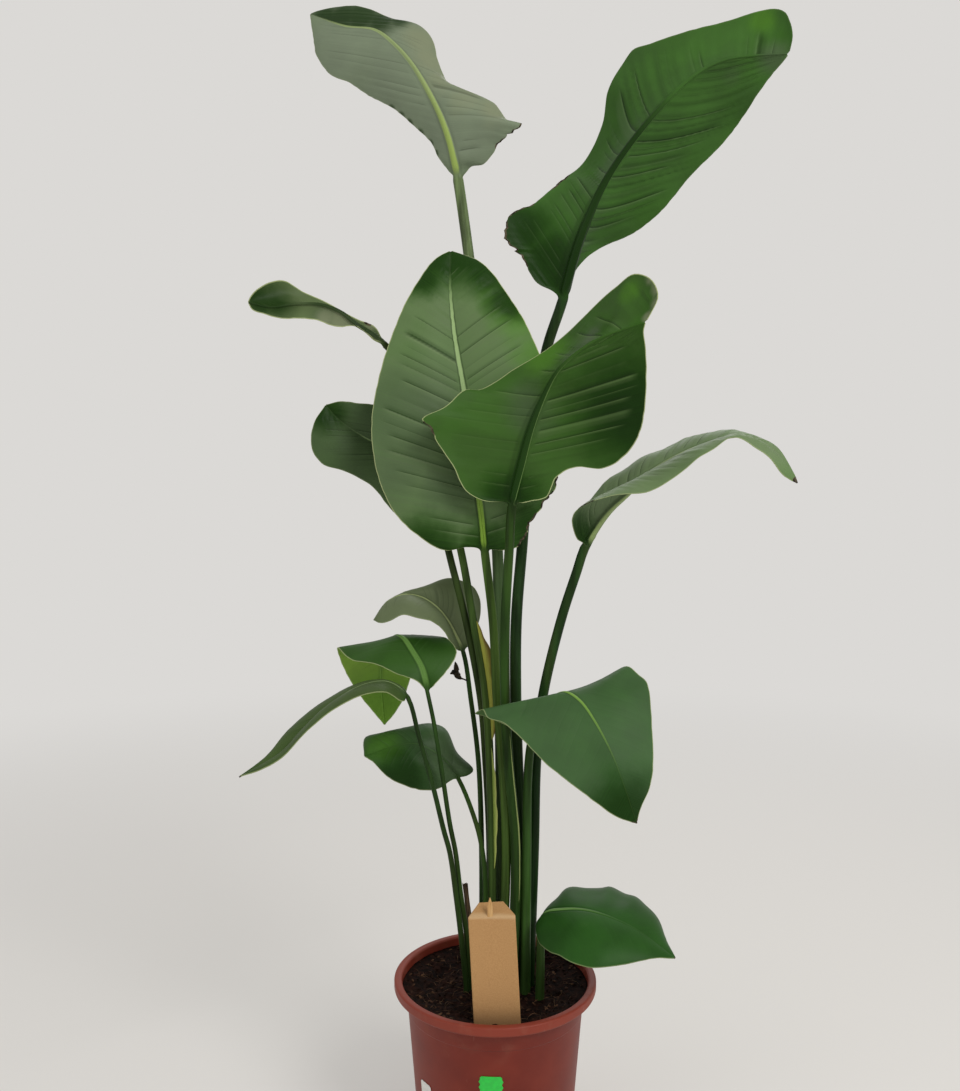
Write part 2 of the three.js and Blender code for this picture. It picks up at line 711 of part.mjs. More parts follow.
// The peg, a flat stick behind the tag that comes up through its fold and ends in a blunt point.
// With a gap, the rings are those of the straight slot round it.
function pegRow(z, width, thickness) {
  const y = TAG_Y + TAG_THICKNESS / 2 + 2 * SEAT_GAP + PEG_THICKNESS / 2;
  const corner = (sx, sy) => new THREE.Vector3(PEG_X + (sx * width) / 2, y + (sy * thickness) / 2, z);
  return [corner(-1, -1), corner(1, -1), corner(1, 1), corner(-1, 1)];
}

function pegRings(gap, top) {
  const [width, thickness] = [PEG_WIDTH + 2 * gap, PEG_THICKNESS + 2 * gap];
  const rows = [PEG_FOOT_Z - gap, top - PEG_TAPER, top];
  const shrink = [1, 1, gap > 0 ? 1 : PEG_POINT];
  return rows.map((z, i) => pegRow(z, width * shrink[i], thickness * shrink[i]));
}

// A label on the pot's slanting side
function labelGeometry({ x, width, top, bottom }) {
  const radius = (z) => lowerRadius(z) + SEAT_GAP;
  const middle = Math.asin(x / radius(top));
  const spread = width / radius(top);
  const rings = [];
  for (let i = 0; i <= LABEL_STEPS; i += 1) {
    const angle = middle + spread * (0.5 - i / LABEL_STEPS);
    const corner = (z, out) => {
      const reach = radius(z) + out;
      return new THREE.Vector3(reach * Math.sin(angle), -reach * Math.cos(angle), z);
    };
    rings.push([
      corner(bottom, LABEL_THICKNESS), corner(top, LABEL_THICKNESS), corner(top, 0), corner(bottom, 0),
    ]);
  }
  return skin(rings);
}

// Solids for cutting
function solid(geometry) {
  const vertProperties = Float32Array.from(geometry.getAttribute("position").array);
  const triVerts = Uint32Array.from(geometry.getIndex().array);
  return new wasm.Manifold(new wasm.Mesh({ numProp: 3, vertProperties, triVerts }));
}

function fromSolid(body) {
  const mesh = body.getMesh();
  const geometry = new THREE.BufferGeometry();
  geometry.setAttribute("position", new THREE.Float32BufferAttribute(mesh.vertProperties, 3));
  geometry.setIndex(Array.from(mesh.triVerts));
  return geometry;
}

function named(name, geometry, material) {
  const mesh = new THREE.Mesh(geometry, material);
  mesh.name = name;
  return mesh;
}

const plant = new THREE.Group();
const leaves = LEAVES.map((spec) => new Leaf(spec));
const holes = leaves.map((leaf) => {
  return holeGeometry(leaf.spec.stalk[0], leaf.spec.thick[0], leaf.side, leaf.ringCount());
});
holes.push(holeGeometry(STUB.path[0], STUB.radius, STUB_SIDE, STUB_SIDES));
holes.push(skin(pegRings(HOLE_GAP, PEG_TOP_Z)));
holes.push(skin([TAG_FOOT_Z - TAG_SLOT, COLLAR_Z + TAG_SLOT].map((z) => {
  return tagRow(z, TAG_WIDTH + 2 * HOLE_GAP, TAG_Y, 0, TAG_THICKNESS + 2 * HOLE_GAP);
})));

plant.add(named("pot", potGeometry(), potMaterial()));
plant.add(named("soil", soilGeometry(holes), soilMaterial()));
for (const leaf of leaves) {
  plant.add(named(leaf.spec.name, skin(leaf.rings()), leafMaterial()));
}
plant.add(named("cut_stub", stubGeometry(), stubMaterial()));
plant.add(named("tag", tagGeometry(), cardMaterial()));
plant.add(named("tag_peg", skin(pegRings(0, PEG_TOP_Z)), woodMaterial()));
plant.add(named("label_green", labelGeometry(GREEN_LABEL), labelMaterial(GREEN_LABEL.color)));
plant.add(named("label_white", labelGeometry(WHITE_LABEL), labelMaterial(WHITE_LABEL.color)));

export default plant;
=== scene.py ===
# %% [markdown]
# # A potted bird of paradise
#
# This file dresses a plain solid model of a house plant: thirteen paddle leaves on long stalks, in a
# round plastic pot. The solid model is loaded first and gives every size. Each leaf, the pot, the soil
# and the tag are then made again as finer surfaces that lie where the solids are.

# %% Load the solid model
import math

import bpy
import numpy as np
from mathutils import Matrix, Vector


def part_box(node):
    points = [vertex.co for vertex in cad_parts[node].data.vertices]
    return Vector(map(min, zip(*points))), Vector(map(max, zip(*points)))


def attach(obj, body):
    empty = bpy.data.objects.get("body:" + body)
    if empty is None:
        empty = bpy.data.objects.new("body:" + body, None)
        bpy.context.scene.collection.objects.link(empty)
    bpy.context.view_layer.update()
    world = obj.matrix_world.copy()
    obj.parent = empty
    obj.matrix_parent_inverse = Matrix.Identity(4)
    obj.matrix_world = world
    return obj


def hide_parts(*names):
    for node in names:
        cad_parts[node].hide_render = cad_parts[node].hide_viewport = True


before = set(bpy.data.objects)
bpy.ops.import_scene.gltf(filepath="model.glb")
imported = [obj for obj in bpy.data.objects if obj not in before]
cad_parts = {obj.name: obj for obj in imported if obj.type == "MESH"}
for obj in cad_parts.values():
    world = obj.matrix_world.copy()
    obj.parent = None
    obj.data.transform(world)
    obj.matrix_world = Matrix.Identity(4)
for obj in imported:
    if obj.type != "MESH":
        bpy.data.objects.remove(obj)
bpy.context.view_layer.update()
MM = 0.001

# %% [markdown]
# ## The camera
#
# A camera can be placed by eye or worked out. Here it was worked out from the rim's ellipse in the
# photograph, for a focal length that was assumed. It is written as three numbers: where it stands, how
# far it looks down, and the focal length for Blender's 36 mm sensor.

# %% Place the camera
CAMERA_PLACE = (-0.018, -1.127, 0.776)
LOOK_DOWN = math.radians(2.2)
FOCAL_LENGTH = 31.68

camera_data = bpy.data.cameras.new("camera")
camera_data.lens = FOCAL_LENGTH
camera = bpy.data.objects.new("camera", camera_data)
camera.location = CAMERA_PLACE
camera.rotation_euler = (math.pi / 2 - LOOK_DOWN, 0, 0)
bpy.context.scene.collection.objects.link(camera)
bpy.context.scene.camera = camera

# %% [markdown]
# ## A few helpers for shapes
#
# Every piece below is a skin over rings of points. numpy works out all the points of a piece at once,
# and one function turns them into a mesh. Its ends are closed by strips across the ring, so a flat
# leaf and a round stalk are closed in the same way.


# %% Small functions on arrays
TINY = 1e-9


def smooth(t):
    """0 below 0, 1 above 1, and 3t² - 2t³ in between, which starts and ends level."""
    t = np.clip(t, 0, 1)
    return t * t * (3 - 2 * t)


def unit(vectors):
    """Each vector over its own length."""
    return vectors / np.maximum(np.linalg.norm(vectors, axis=-1, keepdims=True), TINY)


def normals(sheet):
    """The unit vector at right angles to a sheet, at each point of its grid."""
    return unit(np.cross(np.gradient(sheet, axis=1), np.gradient(sheet, axis=0)))


def lengths_along(points):
    """The distance along a row of points from the first one to each."""
    return np.concatenate([[0], np.cumsum(np.linalg.norm(np.diff(points, axis=0), axis=1))])


# %% Rings for sheets and tubes
def two_sided(front, back):
    """Rings that run along the front of a sheet and return along its back."""
    return np.hstack([front, back[:, ::-1]])


def frame_along(start, ahead):
    """Two directions at right angles to a line and to each other, the first also to a start."""
    side = unit(np.cross(start, ahead))
    return side, np.cross(ahead, side)


def rings_round(places, side, over, angle, radius):
    """Rings round a row of places: cos(angle) times the radius to the side, and sin(angle) over."""
    out = side[:, None] * (np.cos(angle) * radius)[..., None]
    return places[:, None] + out + over[:, None] * (np.sin(angle) * radius)[..., None]


# %% A skin over rings
def skin(name, rings, fields=None):
    """Makes a closed mesh from an array of ring by corner by xyz, in metres.

    Corner j of ring i joins its neighbours in a quad (i, j), (i, j+1), (i+1, j+1), (i+1, j). Each
    end is closed by quads that join corner j to corner n-1-j across the ring.
    """
    count, corners = rings.shape[:2]
    index = np.arange(count * corners).reshape(count, corners)
    ahead = np.roll(index, -1, axis=1)
    sides = np.stack([index[:-1], ahead[:-1], ahead[1:], index[1:]], axis=-1).reshape(-1, 4)
    j = np.arange(corners // 2 - 1)
    near, across = (j, j + 1), (corners - 2 - j, corners - 1 - j)
    last = np.stack([index[-1][k] for k in (*near, *across)], axis=-1)
    first = np.stack([index[0][k] for k in (*near, *across)], axis=-1)[:, ::-1]
    faces = np.concatenate([sides, last, first])
    mesh = bpy.data.meshes.new(name)
    mesh.from_pydata(rings.reshape(-1, 3).tolist(), [], faces.tolist())
    mesh.shade_smooth()
    for key, values in (fields or {}).items():
        data = mesh.attributes.new(key, "FLOAT", "POINT").data
        data.foreach_set("value", np.broadcast_to(values, (count, corners)).astype(np.float32).ravel())
    piece = bpy.data.objects.new(name, mesh)
    bpy.context.scene.collection.objects.link(piece)
    return piece


def dress(piece, slot, finish, *nodes):
    """Gives a piece its finish, fixes it to the plant and lets it stand for its solids."""
    piece.data.materials.append(finish)
    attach(piece, "root")
    if nodes:
        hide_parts(*nodes)
    return piece


# %% [markdown]
# ## Shader maths as plain Python
#
# A shader is a graph of nodes. Written out node by node, even a short formula is hard to read, so a
# small class wraps a socket and lets + - * / add the Math nodes. Colours never go through Math nodes,
# which would turn them grey; they are mixed instead.


# %% Sockets that can be added and multiplied
class Value:
    """A number that a node gives, which adds Math nodes when it is used in a sum."""

    def __init__(self, finish, socket):
        self.finish = finish
        self.socket = socket

    def math(self, operation, *others):
        """Another Math node, with this number first and the others after it."""
        inputs = dict(enumerate([self, *others]))
        return self.finish.node("ShaderNodeMath", {"operation": operation}, inputs)

    def __add__(self, other):
        return self.math("ADD", other)

    def __mul__(self, other):
        return self.math("MULTIPLY", other)

    def __sub__(self, other):
        return self.math("SUBTRACT", other)

    def __rsub__(self, other):
        return (self * -1) + other

    __radd__ = __add__
    __rmul__ = __mul__

    def rise(self, low, high):
        """0 where the number is below low, 1 above high, and a smooth step in between."""
        settings = {"interpolation_type": "SMOOTHSTEP"}
        inputs = {"Value": self, "From Min": low, "From Max": high}
        return self.finish.node("ShaderNodeMapRange", settings, inputs)


# %% A finish and its nodes
class Finish:
    """A material on the Principled shader. Numbers that are the same all over are set at once."""

    def __init__(self, name, **numbers):
        self.material = bpy.data.materials.new(name)
        self.material.use_nodes = True
        self.tree = self.material.node_tree
        self.shader = self.tree.nodes["Principled BSDF"]
        for socket, number in numbers.items():
            self.shader.inputs[socket.replace("_", " ")].default_value = number

    def node(self, kind, settings=None, inputs=None, output=0):
        """Adds a node: its settings first, then the values or the links of its sockets."""
        node = self.tree.nodes.new(kind)
        for key, value in (settings or {}).items():
            setattr(node, key, value)
        for key, value in (inputs or {}).items():
            self.join(value, node.inputs[key])
        return Value(self, node.outputs[output])

    def join(self, value, socket):
        """Links a value to a socket, or sets the socket where the value is a plain number."""
        if isinstance(value, Value):
            self.tree.links.new(value.socket, socket)
        else:
            socket.default_value = value

    def field(self, name):
        """A number that the mesh carries at each point."""
        return self.node("ShaderNodeAttribute", {"attribute_name": name}, output="Fac")

    def place(self, scale=(1, 1, 1)):
        """The place on the object, in metres times a scale for each direction."""
        point = self.node("ShaderNodeTexCoord", output="Object")
        inputs = {0: point, 1: scale}
        return self.node("ShaderNodeVectorMath", {"operation": "MULTIPLY"}, inputs)

    def noise(self, size, detail=2.0, stretch=(1, 1, 1)):
        """Soft noise from 0 to 1, with patches about size metres across."""
        at = self.place(tuple(part / size for part in stretch))
        inputs = {"Vector": at, "Scale": 1.0, "Detail": detail}
        return self.node("ShaderNodeTexNoise", None, inputs)

    def mix(self, share, low, high):
        """The colour low where share is 0 and high where it is 1."""
        inputs = {0: share, 6: low, 7: high}
        return self.node("ShaderNodeMix", {"data_type": "RGBA"}, inputs, 2)

    def paint(self, **sockets):
        """Joins what varies over the surface to the shader."""
        for socket, value in sockets.items():
            self.join(value, self.shader.inputs[socket.replace("_", " ")])
        return self.material

    def height_above(self, low, high):
        """0 below one height and 1 above another, in metres."""
        return self.node("ShaderNodeSeparateXYZ", None, {0: self.place()}, "Z").rise(low, high)

    def relief(self, height, metres, strength):
        """Small bumps from a height between 0 and 1."""
        inputs = {"Height": height, "Distance": metres, "Strength": strength}
        return self.node("ShaderNodeBump", None, inputs)


def colour(code):
    """The linear colour of a web colour such as 2f5c22: ((c + 0.055) / 1.055) to the power 2.4."""
    parts = [int(code[k : k + 2], 16) / 255 for k in (0, 2, 4)]
    return (*[((c + 0.055) / 1.055) ** 2.4 if c > 0.04 else c / 12.92 for c in parts], 1)


# %% [markdown]
# ## The leaves' lines
#
# A bird of paradise leaf is a blade hung on a strong midrib, and the midrib is the upper end of the
# stalk. So three smooth lines give a whole leaf: one along the stalk and midrib, and one along each
# margin. The lines are the solid model's own, in millimetres, so that each fine leaf lies in its solid.


# %% A smooth line through points
COLLAR_Z = 212
LINE_STEPS = 40


def smooth_line(points, steps=LINE_STEPS):
    """A centripetal Catmull-Rom curve through the points, with so many steps between each two.

    The time between two points is the square root of their distance, and each stretch is blended
    from the straight lines through its four nearest points. A point without a height lies at the
    collar, where a stalk leaves the soil.
    """
    points = np.array([p if len(p) == 3 else (*p, COLLAR_Z) for p in points], float)
    p = np.vstack([2 * points[0] - points[1], points, 2 * points[-1] - points[-2]])
    gaps = np.linalg.norm(np.diff(p, axis=0), axis=1) ** 0.5
    a, b, c, d = p[:-3, None], p[1:-2, None], p[2:-1, None], p[3:, None]
    before, here, after = (gaps[k : k + len(a), None, None] for k in (0, 1, 2))
    t = np.linspace(0, 1, steps, endpoint=False)[None, :, None] * here
    ab = a + (b - a) * (t + before) / before
    bc = b + (c - b) * t / here
    cd = c + (d - c) * (t - here) / after
    abc = ab + (bc - ab) * (t + before) / (before + here)
    bcd = bc + (cd - bc) * t / (here + after)
    return np.vstack([(abc + (bcd - abc) * t / here).reshape(-1, 3), points[-1:]])


class Line:
    """A row of points that can be asked for the place at any share of its length."""

    def __init__(self, points):
        self.points = points
        self.lengths = lengths_along(points)
        self.length = self.lengths[-1]

    def at(self, share):
        """The places at some shares of the whole length."""
        distance = np.clip(share, 0, 1) * self.length
        return np.stack([np.interp(distance, self.lengths, self.points[:, k]) for k in range(3)], -1)

    def tangent(self, share, step=0.004):
        """The directions there: from one place a small step back to one a small step ahead."""
        return unit(self.at(share + step) - self.at(share - step))


# %% The thirteen leaves, in millimetres
LEAVES = {
    "leaf_top_left": dict(
        thick=(7, 6.6),
        stalk=[
            (8, 10), (8, 9, 367), (6, 18, 546), (3, 36, 726), (-9, 56, 885), (-22, 70, 1009),
            (-32, 78, 1091),
        ],
        rib=[
            (-45, 86, 1184), (-49, 78, 1203), (-56, 72, 1230), (-67, 68, 1259), (-82, 66, 1288),
            (-102, 68, 1321), (-124, 74, 1347), (-149, 86, 1369), (-187, 100, 1380), (-234, 116, 1403),
        ],
        left=[
            (-55, 84, 1193), (-68, 86, 1210), (-79, 88, 1231), (-105, 90, 1257), (-128, 92, 1276),
            (-156, 94, 1291), (-181, 96, 1308), (-205, 98, 1319), (-223, 102, 1344), (-230, 110, 1380),
        ],
        right=[
            (-38, 84, 1185), (-30, 86, 1201), (-13, 84, 1204), (-1, 82, 1217), (7, 80, 1228),
            (19, 78, 1236), (37, 76, 1249), (17, 80, 1256), (-2, 84, 1279), (-37, 86, 1289),
            (-58, 88, 1304), (-70, 88, 1331), (-76, 90, 1358), (-93, 94, 1377), (-124, 98, 1388),
            (-168, 102, 1405), (-197, 108, 1408), (-220, 112, 1406),
        ],
        wave=(1, 6, 0.1), belly=(0.1, 0.1),
    ),
    "leaf_top_right": dict(
        thick=(7.5, 6.2),
        stalk=[
            (25, 8), (29, 6, 368), (25, 22, 546), (26, 32, 641), (33, 42, 726), (44, 50, 848),
            (62, 44, 966),
        ],
        rib=[
            (80, 35, 1022), (100, 10, 1092), (125, -10, 1150), (160, -35, 1197), (213, -54, 1248),
            (246, -60, 1264), (280, -66, 1267), (315, -74, 1265),
        ],
        left=[
            (95, 45, 1060), (130, 60, 1095), (170, 50, 1110), (195, 35, 1128), (232, 10, 1168),
            (268, -20, 1202), (288, -55, 1232), (302, -66, 1250), (310, -72, 1259),
        ],
        right=[
            (63, 32, 1038), (50, 30, 1045), (37, 29, 1063), (26, 28, 1078), (10, 26, 1096),
            (13, 28, 1120), (22, 32, 1131), (46, 40, 1142), (79, 50, 1171), (106, 58, 1195),
            (129, 40, 1238), (132, 20, 1263), (136, 10, 1273), (146, 0, 1288), (156, -10, 1300),
            (174, -20, 1302), (216, -36, 1308), (257, -50, 1313), (286, -62, 1317), (308, -74, 1311),
            (317, -78, 1285),
        ],
        wave=(1, 5, 0), belly=(0.1, 0.1),
    ),
    "leaf_upper_left": dict(
        thick=(5, 4),
        stalk=[
            (-7, 17), (-6, 14, 370), (-11, 12, 475), (-17, 12, 548), (-35, 15, 643), (-56, 24, 726),
            (-72, 46, 796), (-96, 62, 873), (-104, 62, 928), (-117, 60, 958),
        ],
        rib=[
            (-133, 56, 975), (-149, 50, 987), (-167, 46, 998), (-187, 42, 1013), (-210, 38, 1021),
            (-240, 34, 1021), (-266, 27, 1016), (-293, 20, 1020),
        ],
        left=[
            (-139, 60, 986), (-146, 62, 998), (-155, 64, 1004), (-164, 64, 1007), (-184, 62, 1017),
            (-214, 60, 1032), (-234, 56, 1041), (-255, 46, 1052), (-270, 38, 1048), (-283, 30, 1039),
            (-291, 24, 1028),
        ],
        right=[
            (-146, 50, 980), (-161, 48, 992), (-171, 46, 997), (-185, 42, 995), (-199, 40, 997),
            (-213, 38, 1002), (-234, 36, 1004), (-255, 32, 1003), (-274, 27, 1007), (-289, 23, 1012),
        ],
        wave=(0.5, 3, 0), belly=(0.25, 0.1),
    ),
    "leaf_middle_left": dict(
        thick=(5.5, 4.4),
        stalk=[(-6, 0), (-4, -3, 371), (-11, 2, 550), (-26, 8, 644), (-41, 16, 727), (-52, 20, 768)],
        rib=[
            (-64, 24, 796), (-84, 28, 825), (-108, 30, 844), (-132, 30, 852), (-150, 28, 858),
            (-170, 25, 870), (-187, 20, 883), (-201, 15, 899),
        ],
        left=[
            (-76, 22, 777), (-100, 24, 762), (-121, 26, 771), (-147, 25, 802), (-179, 18, 820),
            (-205, 10, 829), (-217, 8, 850), (-214, 10, 877),
        ],
        right=[
            (-65, 30, 825), (-84, 32, 865), (-108, 28, 888), (-131, 22, 898), (-158, 18, 901),
            (-184, 15, 903),
        ],
        wave=(1, 3, 0), belly=(0.1, 0.1),
    ),
    "leaf_tall_centre": dict(
        thick=(5.5, 5),
        stalk=[(7, -9), (13, -8, 373), (8, -8, 480), (2, -8, 552), (-3, -8, 646)],
        rib=[
            (-12, -8, 722), (-17, -14, 770), (-25, -16, 828), (-36, -12, 908), (-48, 0, 980),
            (-53, 15, 1035), (-53, 32, 1084),
        ],
        left=[
            (-30, -15, 731), (-60, -22, 728), (-87, -26, 743), (-115, -30, 770), (-132, -32, 805),
            (-141, -32, 850), (-140, -28, 893), (-125, -14, 960), (-100, 8, 1027), (-73, 26, 1071),
        ],
        right=[
            (5, -14, 727), (28, -16, 733), (45, -16, 765), (68, -14, 795), (78, -12, 838),
            (75, -6, 900), (50, 4, 962), (20, 18, 1022), (-18, 28, 1070),
        ],
        wave=(1.5, 6, 0), belly=(0.1, 0.1),
    ),
    "leaf_front_right": dict(
        thick=(6.5, 5.2),
        stalk=[
            (20, -14), (24, -14, 375), (15, -20, 484), (11, -26, 555), (11, -32, 649), (15, -40, 729),
        ],
        rib=[
            (18, -44, 778), (27, -56, 820), (39, -72, 866), (56, -92, 908), (66, -108, 924),
            (83, -118, 939), (106, -128, 952), (151, -142, 966),
        ],
        left=[
            (38, -48, 784), (57, -48, 789), (68, -50, 811), (88, -54, 822), (118, -62, 820),
            (141, -72, 834), (155, -86, 858), (158, -104, 896), (155, -122, 936), (150, -136, 957),
        ],
        right=[
            (1, -46, 782), (-18, -50, 786), (-35, -54, 797), (-48, -60, 823), (-65, -66, 848),
            (-74, -70, 864), (-82, -74, 873), (-56, -62, 889), (-35, -54, 908), (-18, -48, 909),
            (17, -38, 931), (55, -34, 954), (95, -50, 987), (127, -86, 1013), (143, -112, 1022),
            (157, -130, 1013), (163, -144, 991), (156, -146, 975),
        ],
        wave=(0.8, 5, 0), belly=(0.1, 0.1),
    ),
    "leaf_right": dict(
        thick=(6.8, 6),
        stalk=[(41, 10), (46, 5, 369), (49, 10, 476), (56, 12, 548), (78, 12, 643), (97, 11, 703)],
        rib=[
            (105, 10, 728), (118, 10, 752), (134, 10, 774), (153, 9, 792), (188, 6, 823),
            (235, 3, 848), (285, 0, 861), (315, -5, 851), (336, -10, 830), (350, -15, 804),
        ],
        left=[
            (100, 20, 755), (117, 38, 790), (163, 55, 828), (210, 60, 850), (253, 55, 866),
            (283, 45, 869), (313, 25, 860), (334, 5, 845), (345, -8, 820),
        ],
        right=[
            (92, -8, 747), (88, -28, 766), (105, -42, 784), (148, -50, 792), (185, -50, 800),
            (210, -48, 820), (235, -42, 836), (268, -30, 856), (304, -25, 842), (330, -20, 815),
        ],
        wave=(1.5, 7, 0), belly=(0.1, 0.1),
    ),
    "leaf_inner_left": dict(
        thick=(3.6, 2.8),
        stalk=[(-16, 8), (-16, 8, 367), (-20, 20, 473), (-29, 29, 544)],
        rib=[
            (-38, 36, 600), (-48, 38, 622), (-59, 42, 641), (-72, 43, 656), (-90, 40, 668),
            (-110, 32, 672), (-130, 22, 664), (-145, 12, 643),
        ],
        left=[
            (-50, 30, 608), (-66, 18, 635), (-84, 2, 645), (-107, -6, 651), (-122, -6, 645),
            (-136, 2, 641),
        ],
        right=[
            (-24, 45, 622), (-17, 55, 655), (-25, 60, 678), (-54, 60, 690), (-84, 55, 681),
            (-112, 45, 669), (-132, 30, 659),
        ],
        wave=(0.8, 4, 0), belly=(0.1, 0.1),
    ),
    "leaf_low_left_hanging": dict(
        thick=(3.4, 2.4),
        stalk=[
            (-30, 0), (-34, -3, 269), (-41, -7, 320), (-47, -12, 373), (-53, -20, 407),
            (-63, -34, 482), (-71, -34, 531),
        ],
        rib=[
            (-78, -30, 563), (-85, -24, 592), (-98, -12, 612), (-109, 2, 624), (-120, 20, 624),
            (-134, 40, 606), (-140, 50, 575), (-136, 50, 508),
        ],
        left=[
            (-90, -34, 578), (-113, -35, 587), (-138, -31, 597), (-168, -15, 600), (-188, 10, 611),
            (-183, 34, 580), (-165, 46, 545), (-150, 50, 525),
        ],
        right=[
            (-70, -28, 573), (-56, -20, 588), (-45, -5, 608), (-58, 14, 621), (-72, 35, 615),
            (-98, 48, 580), (-113, 52, 540), (-124, 52, 522),
        ],
        wave=(0.8, 3, 0), belly=(0.02, 0.02),
    ),
    "leaf_low_left_front": dict(
        thick=(3.6, 2.7),
        stalk=[
            (-34, -8.5), (-40, -10, 269), (-46, -13, 320), (-53, -18, 373), (-60, -26, 403),
            (-72, -40, 460), (-87, -46, 517),
        ],
        rib=[
            (-99, -50, 562), (-110, -52, 575), (-124, -56, 582), (-145, -60, 580), (-168, -65, 570),
            (-190, -70, 554), (-210, -76, 535), (-235, -85, 510), (-280, -98, 485),
        ],
        left=[
            (-105, -68, 562), (-120, -84, 575), (-137, -92, 575), (-158, -98, 569), (-180, -104, 558),
            (-200, -108, 540), (-230, -108, 510), (-258, -104, 493),
        ],
        right=[
            (-105, -38, 570), (-128, -32, 577), (-155, -30, 574), (-180, -34, 563), (-212, -42, 546),
            (-232, -54, 529), (-252, -76, 505),
        ],
        wave=(0.8, 3, 0), belly=(0.1, 0.1),
    ),
    "leaf_low_inner": dict(
        thick=(3.4, 2.6),
        stalk=[(-15, -8), (-12, -10, 338), (-17, -9, 383), (-27, -4, 417)],
        rib=[
            (-43, 2, 454), (-57, -1, 475), (-72, -4, 489), (-93, -6, 499), (-118, -8, 497),
            (-154, -10, 485),
        ],
        left=[
            (-49, -6, 457), (-65, -14, 449), (-82, -18, 447), (-105, -20, 453), (-126, -20, 464),
            (-142, -16, 479),
        ],
        right=[
            (-26, 12, 463), (-46, 26, 481), (-60, 38, 506), (-79, 42, 512), (-111, 38, 506),
            (-137, 28, 503), (-156, 12, 502),
        ],
        wave=(0.6, 3, 0), belly=(0.2, 0.2),
    ),
    "leaf_low_front": dict(
        thick=(6.8, 5),
        stalk=[(35, -9), (37, -8, 374), (38, -10, 457)],
        rib=[
            (42, -14, 503), (51, -20, 536), (65, -32, 559), (79, -46, 568), (94, -62, 561),
            (109, -82, 541), (125, -98, 510), (136, -108, 480), (149, -118, 440),
        ],
        left=[
            (71, -8, 518), (114, -6, 557), (142, -11, 587), (155, -14, 593), (164, -22, 586),
            (173, -32, 578), (175, -40, 568), (174, -62, 538), (171, -92, 497), (166, -102, 477),
            (154, -112, 456),
        ],
        right=[
            (26, -26, 518), (5, -36, 531), (-15, -42, 541), (-24, -50, 545), (-15, -60, 551),
            (-10, -66, 543), (6, -72, 539), (24, -82, 527), (40, -90, 512), (52, -94, 500),
            (88, -106, 474), (125, -116, 449),
        ],
        wave=(0.8, 3, 0), belly=(0, 0),
    ),
    "leaf_bottom_right": dict(
        thick=(5.3, 4.6),
        stalk=[(52, -24), (53, -21, 262)],
        rib=[
            (53, -15, 289), (56, -20, 301), (64, -26, 308), (77, -32, 312), (93, -38, 315),
            (110, -44, 315), (132, -50, 310), (163, -60, 298), (201, -72, 273),
        ],
        left=[
            (62, -4, 298), (70, 8, 302), (77, 16, 305), (86, 26, 312), (95, 32, 313), (114, 33, 311),
            (133, 33, 311), (141, 32, 313), (159, 26, 307), (171, 18, 307), (181, 6, 301),
            (192, -16, 293), (197, -46, 279),
        ],
        right=[
            (48, -25, 291), (47, -42, 286), (50, -56, 282), (60, -72, 280), (70, -84, 282),
            (79, -92, 280), (102, -100, 276), (129, -98, 277), (160, -90, 279), (177, -84, 279),
            (191, -78, 276),
        ],
        wave=(0.5, 4, 0), belly=(0.1, 0.1),
    ),
}
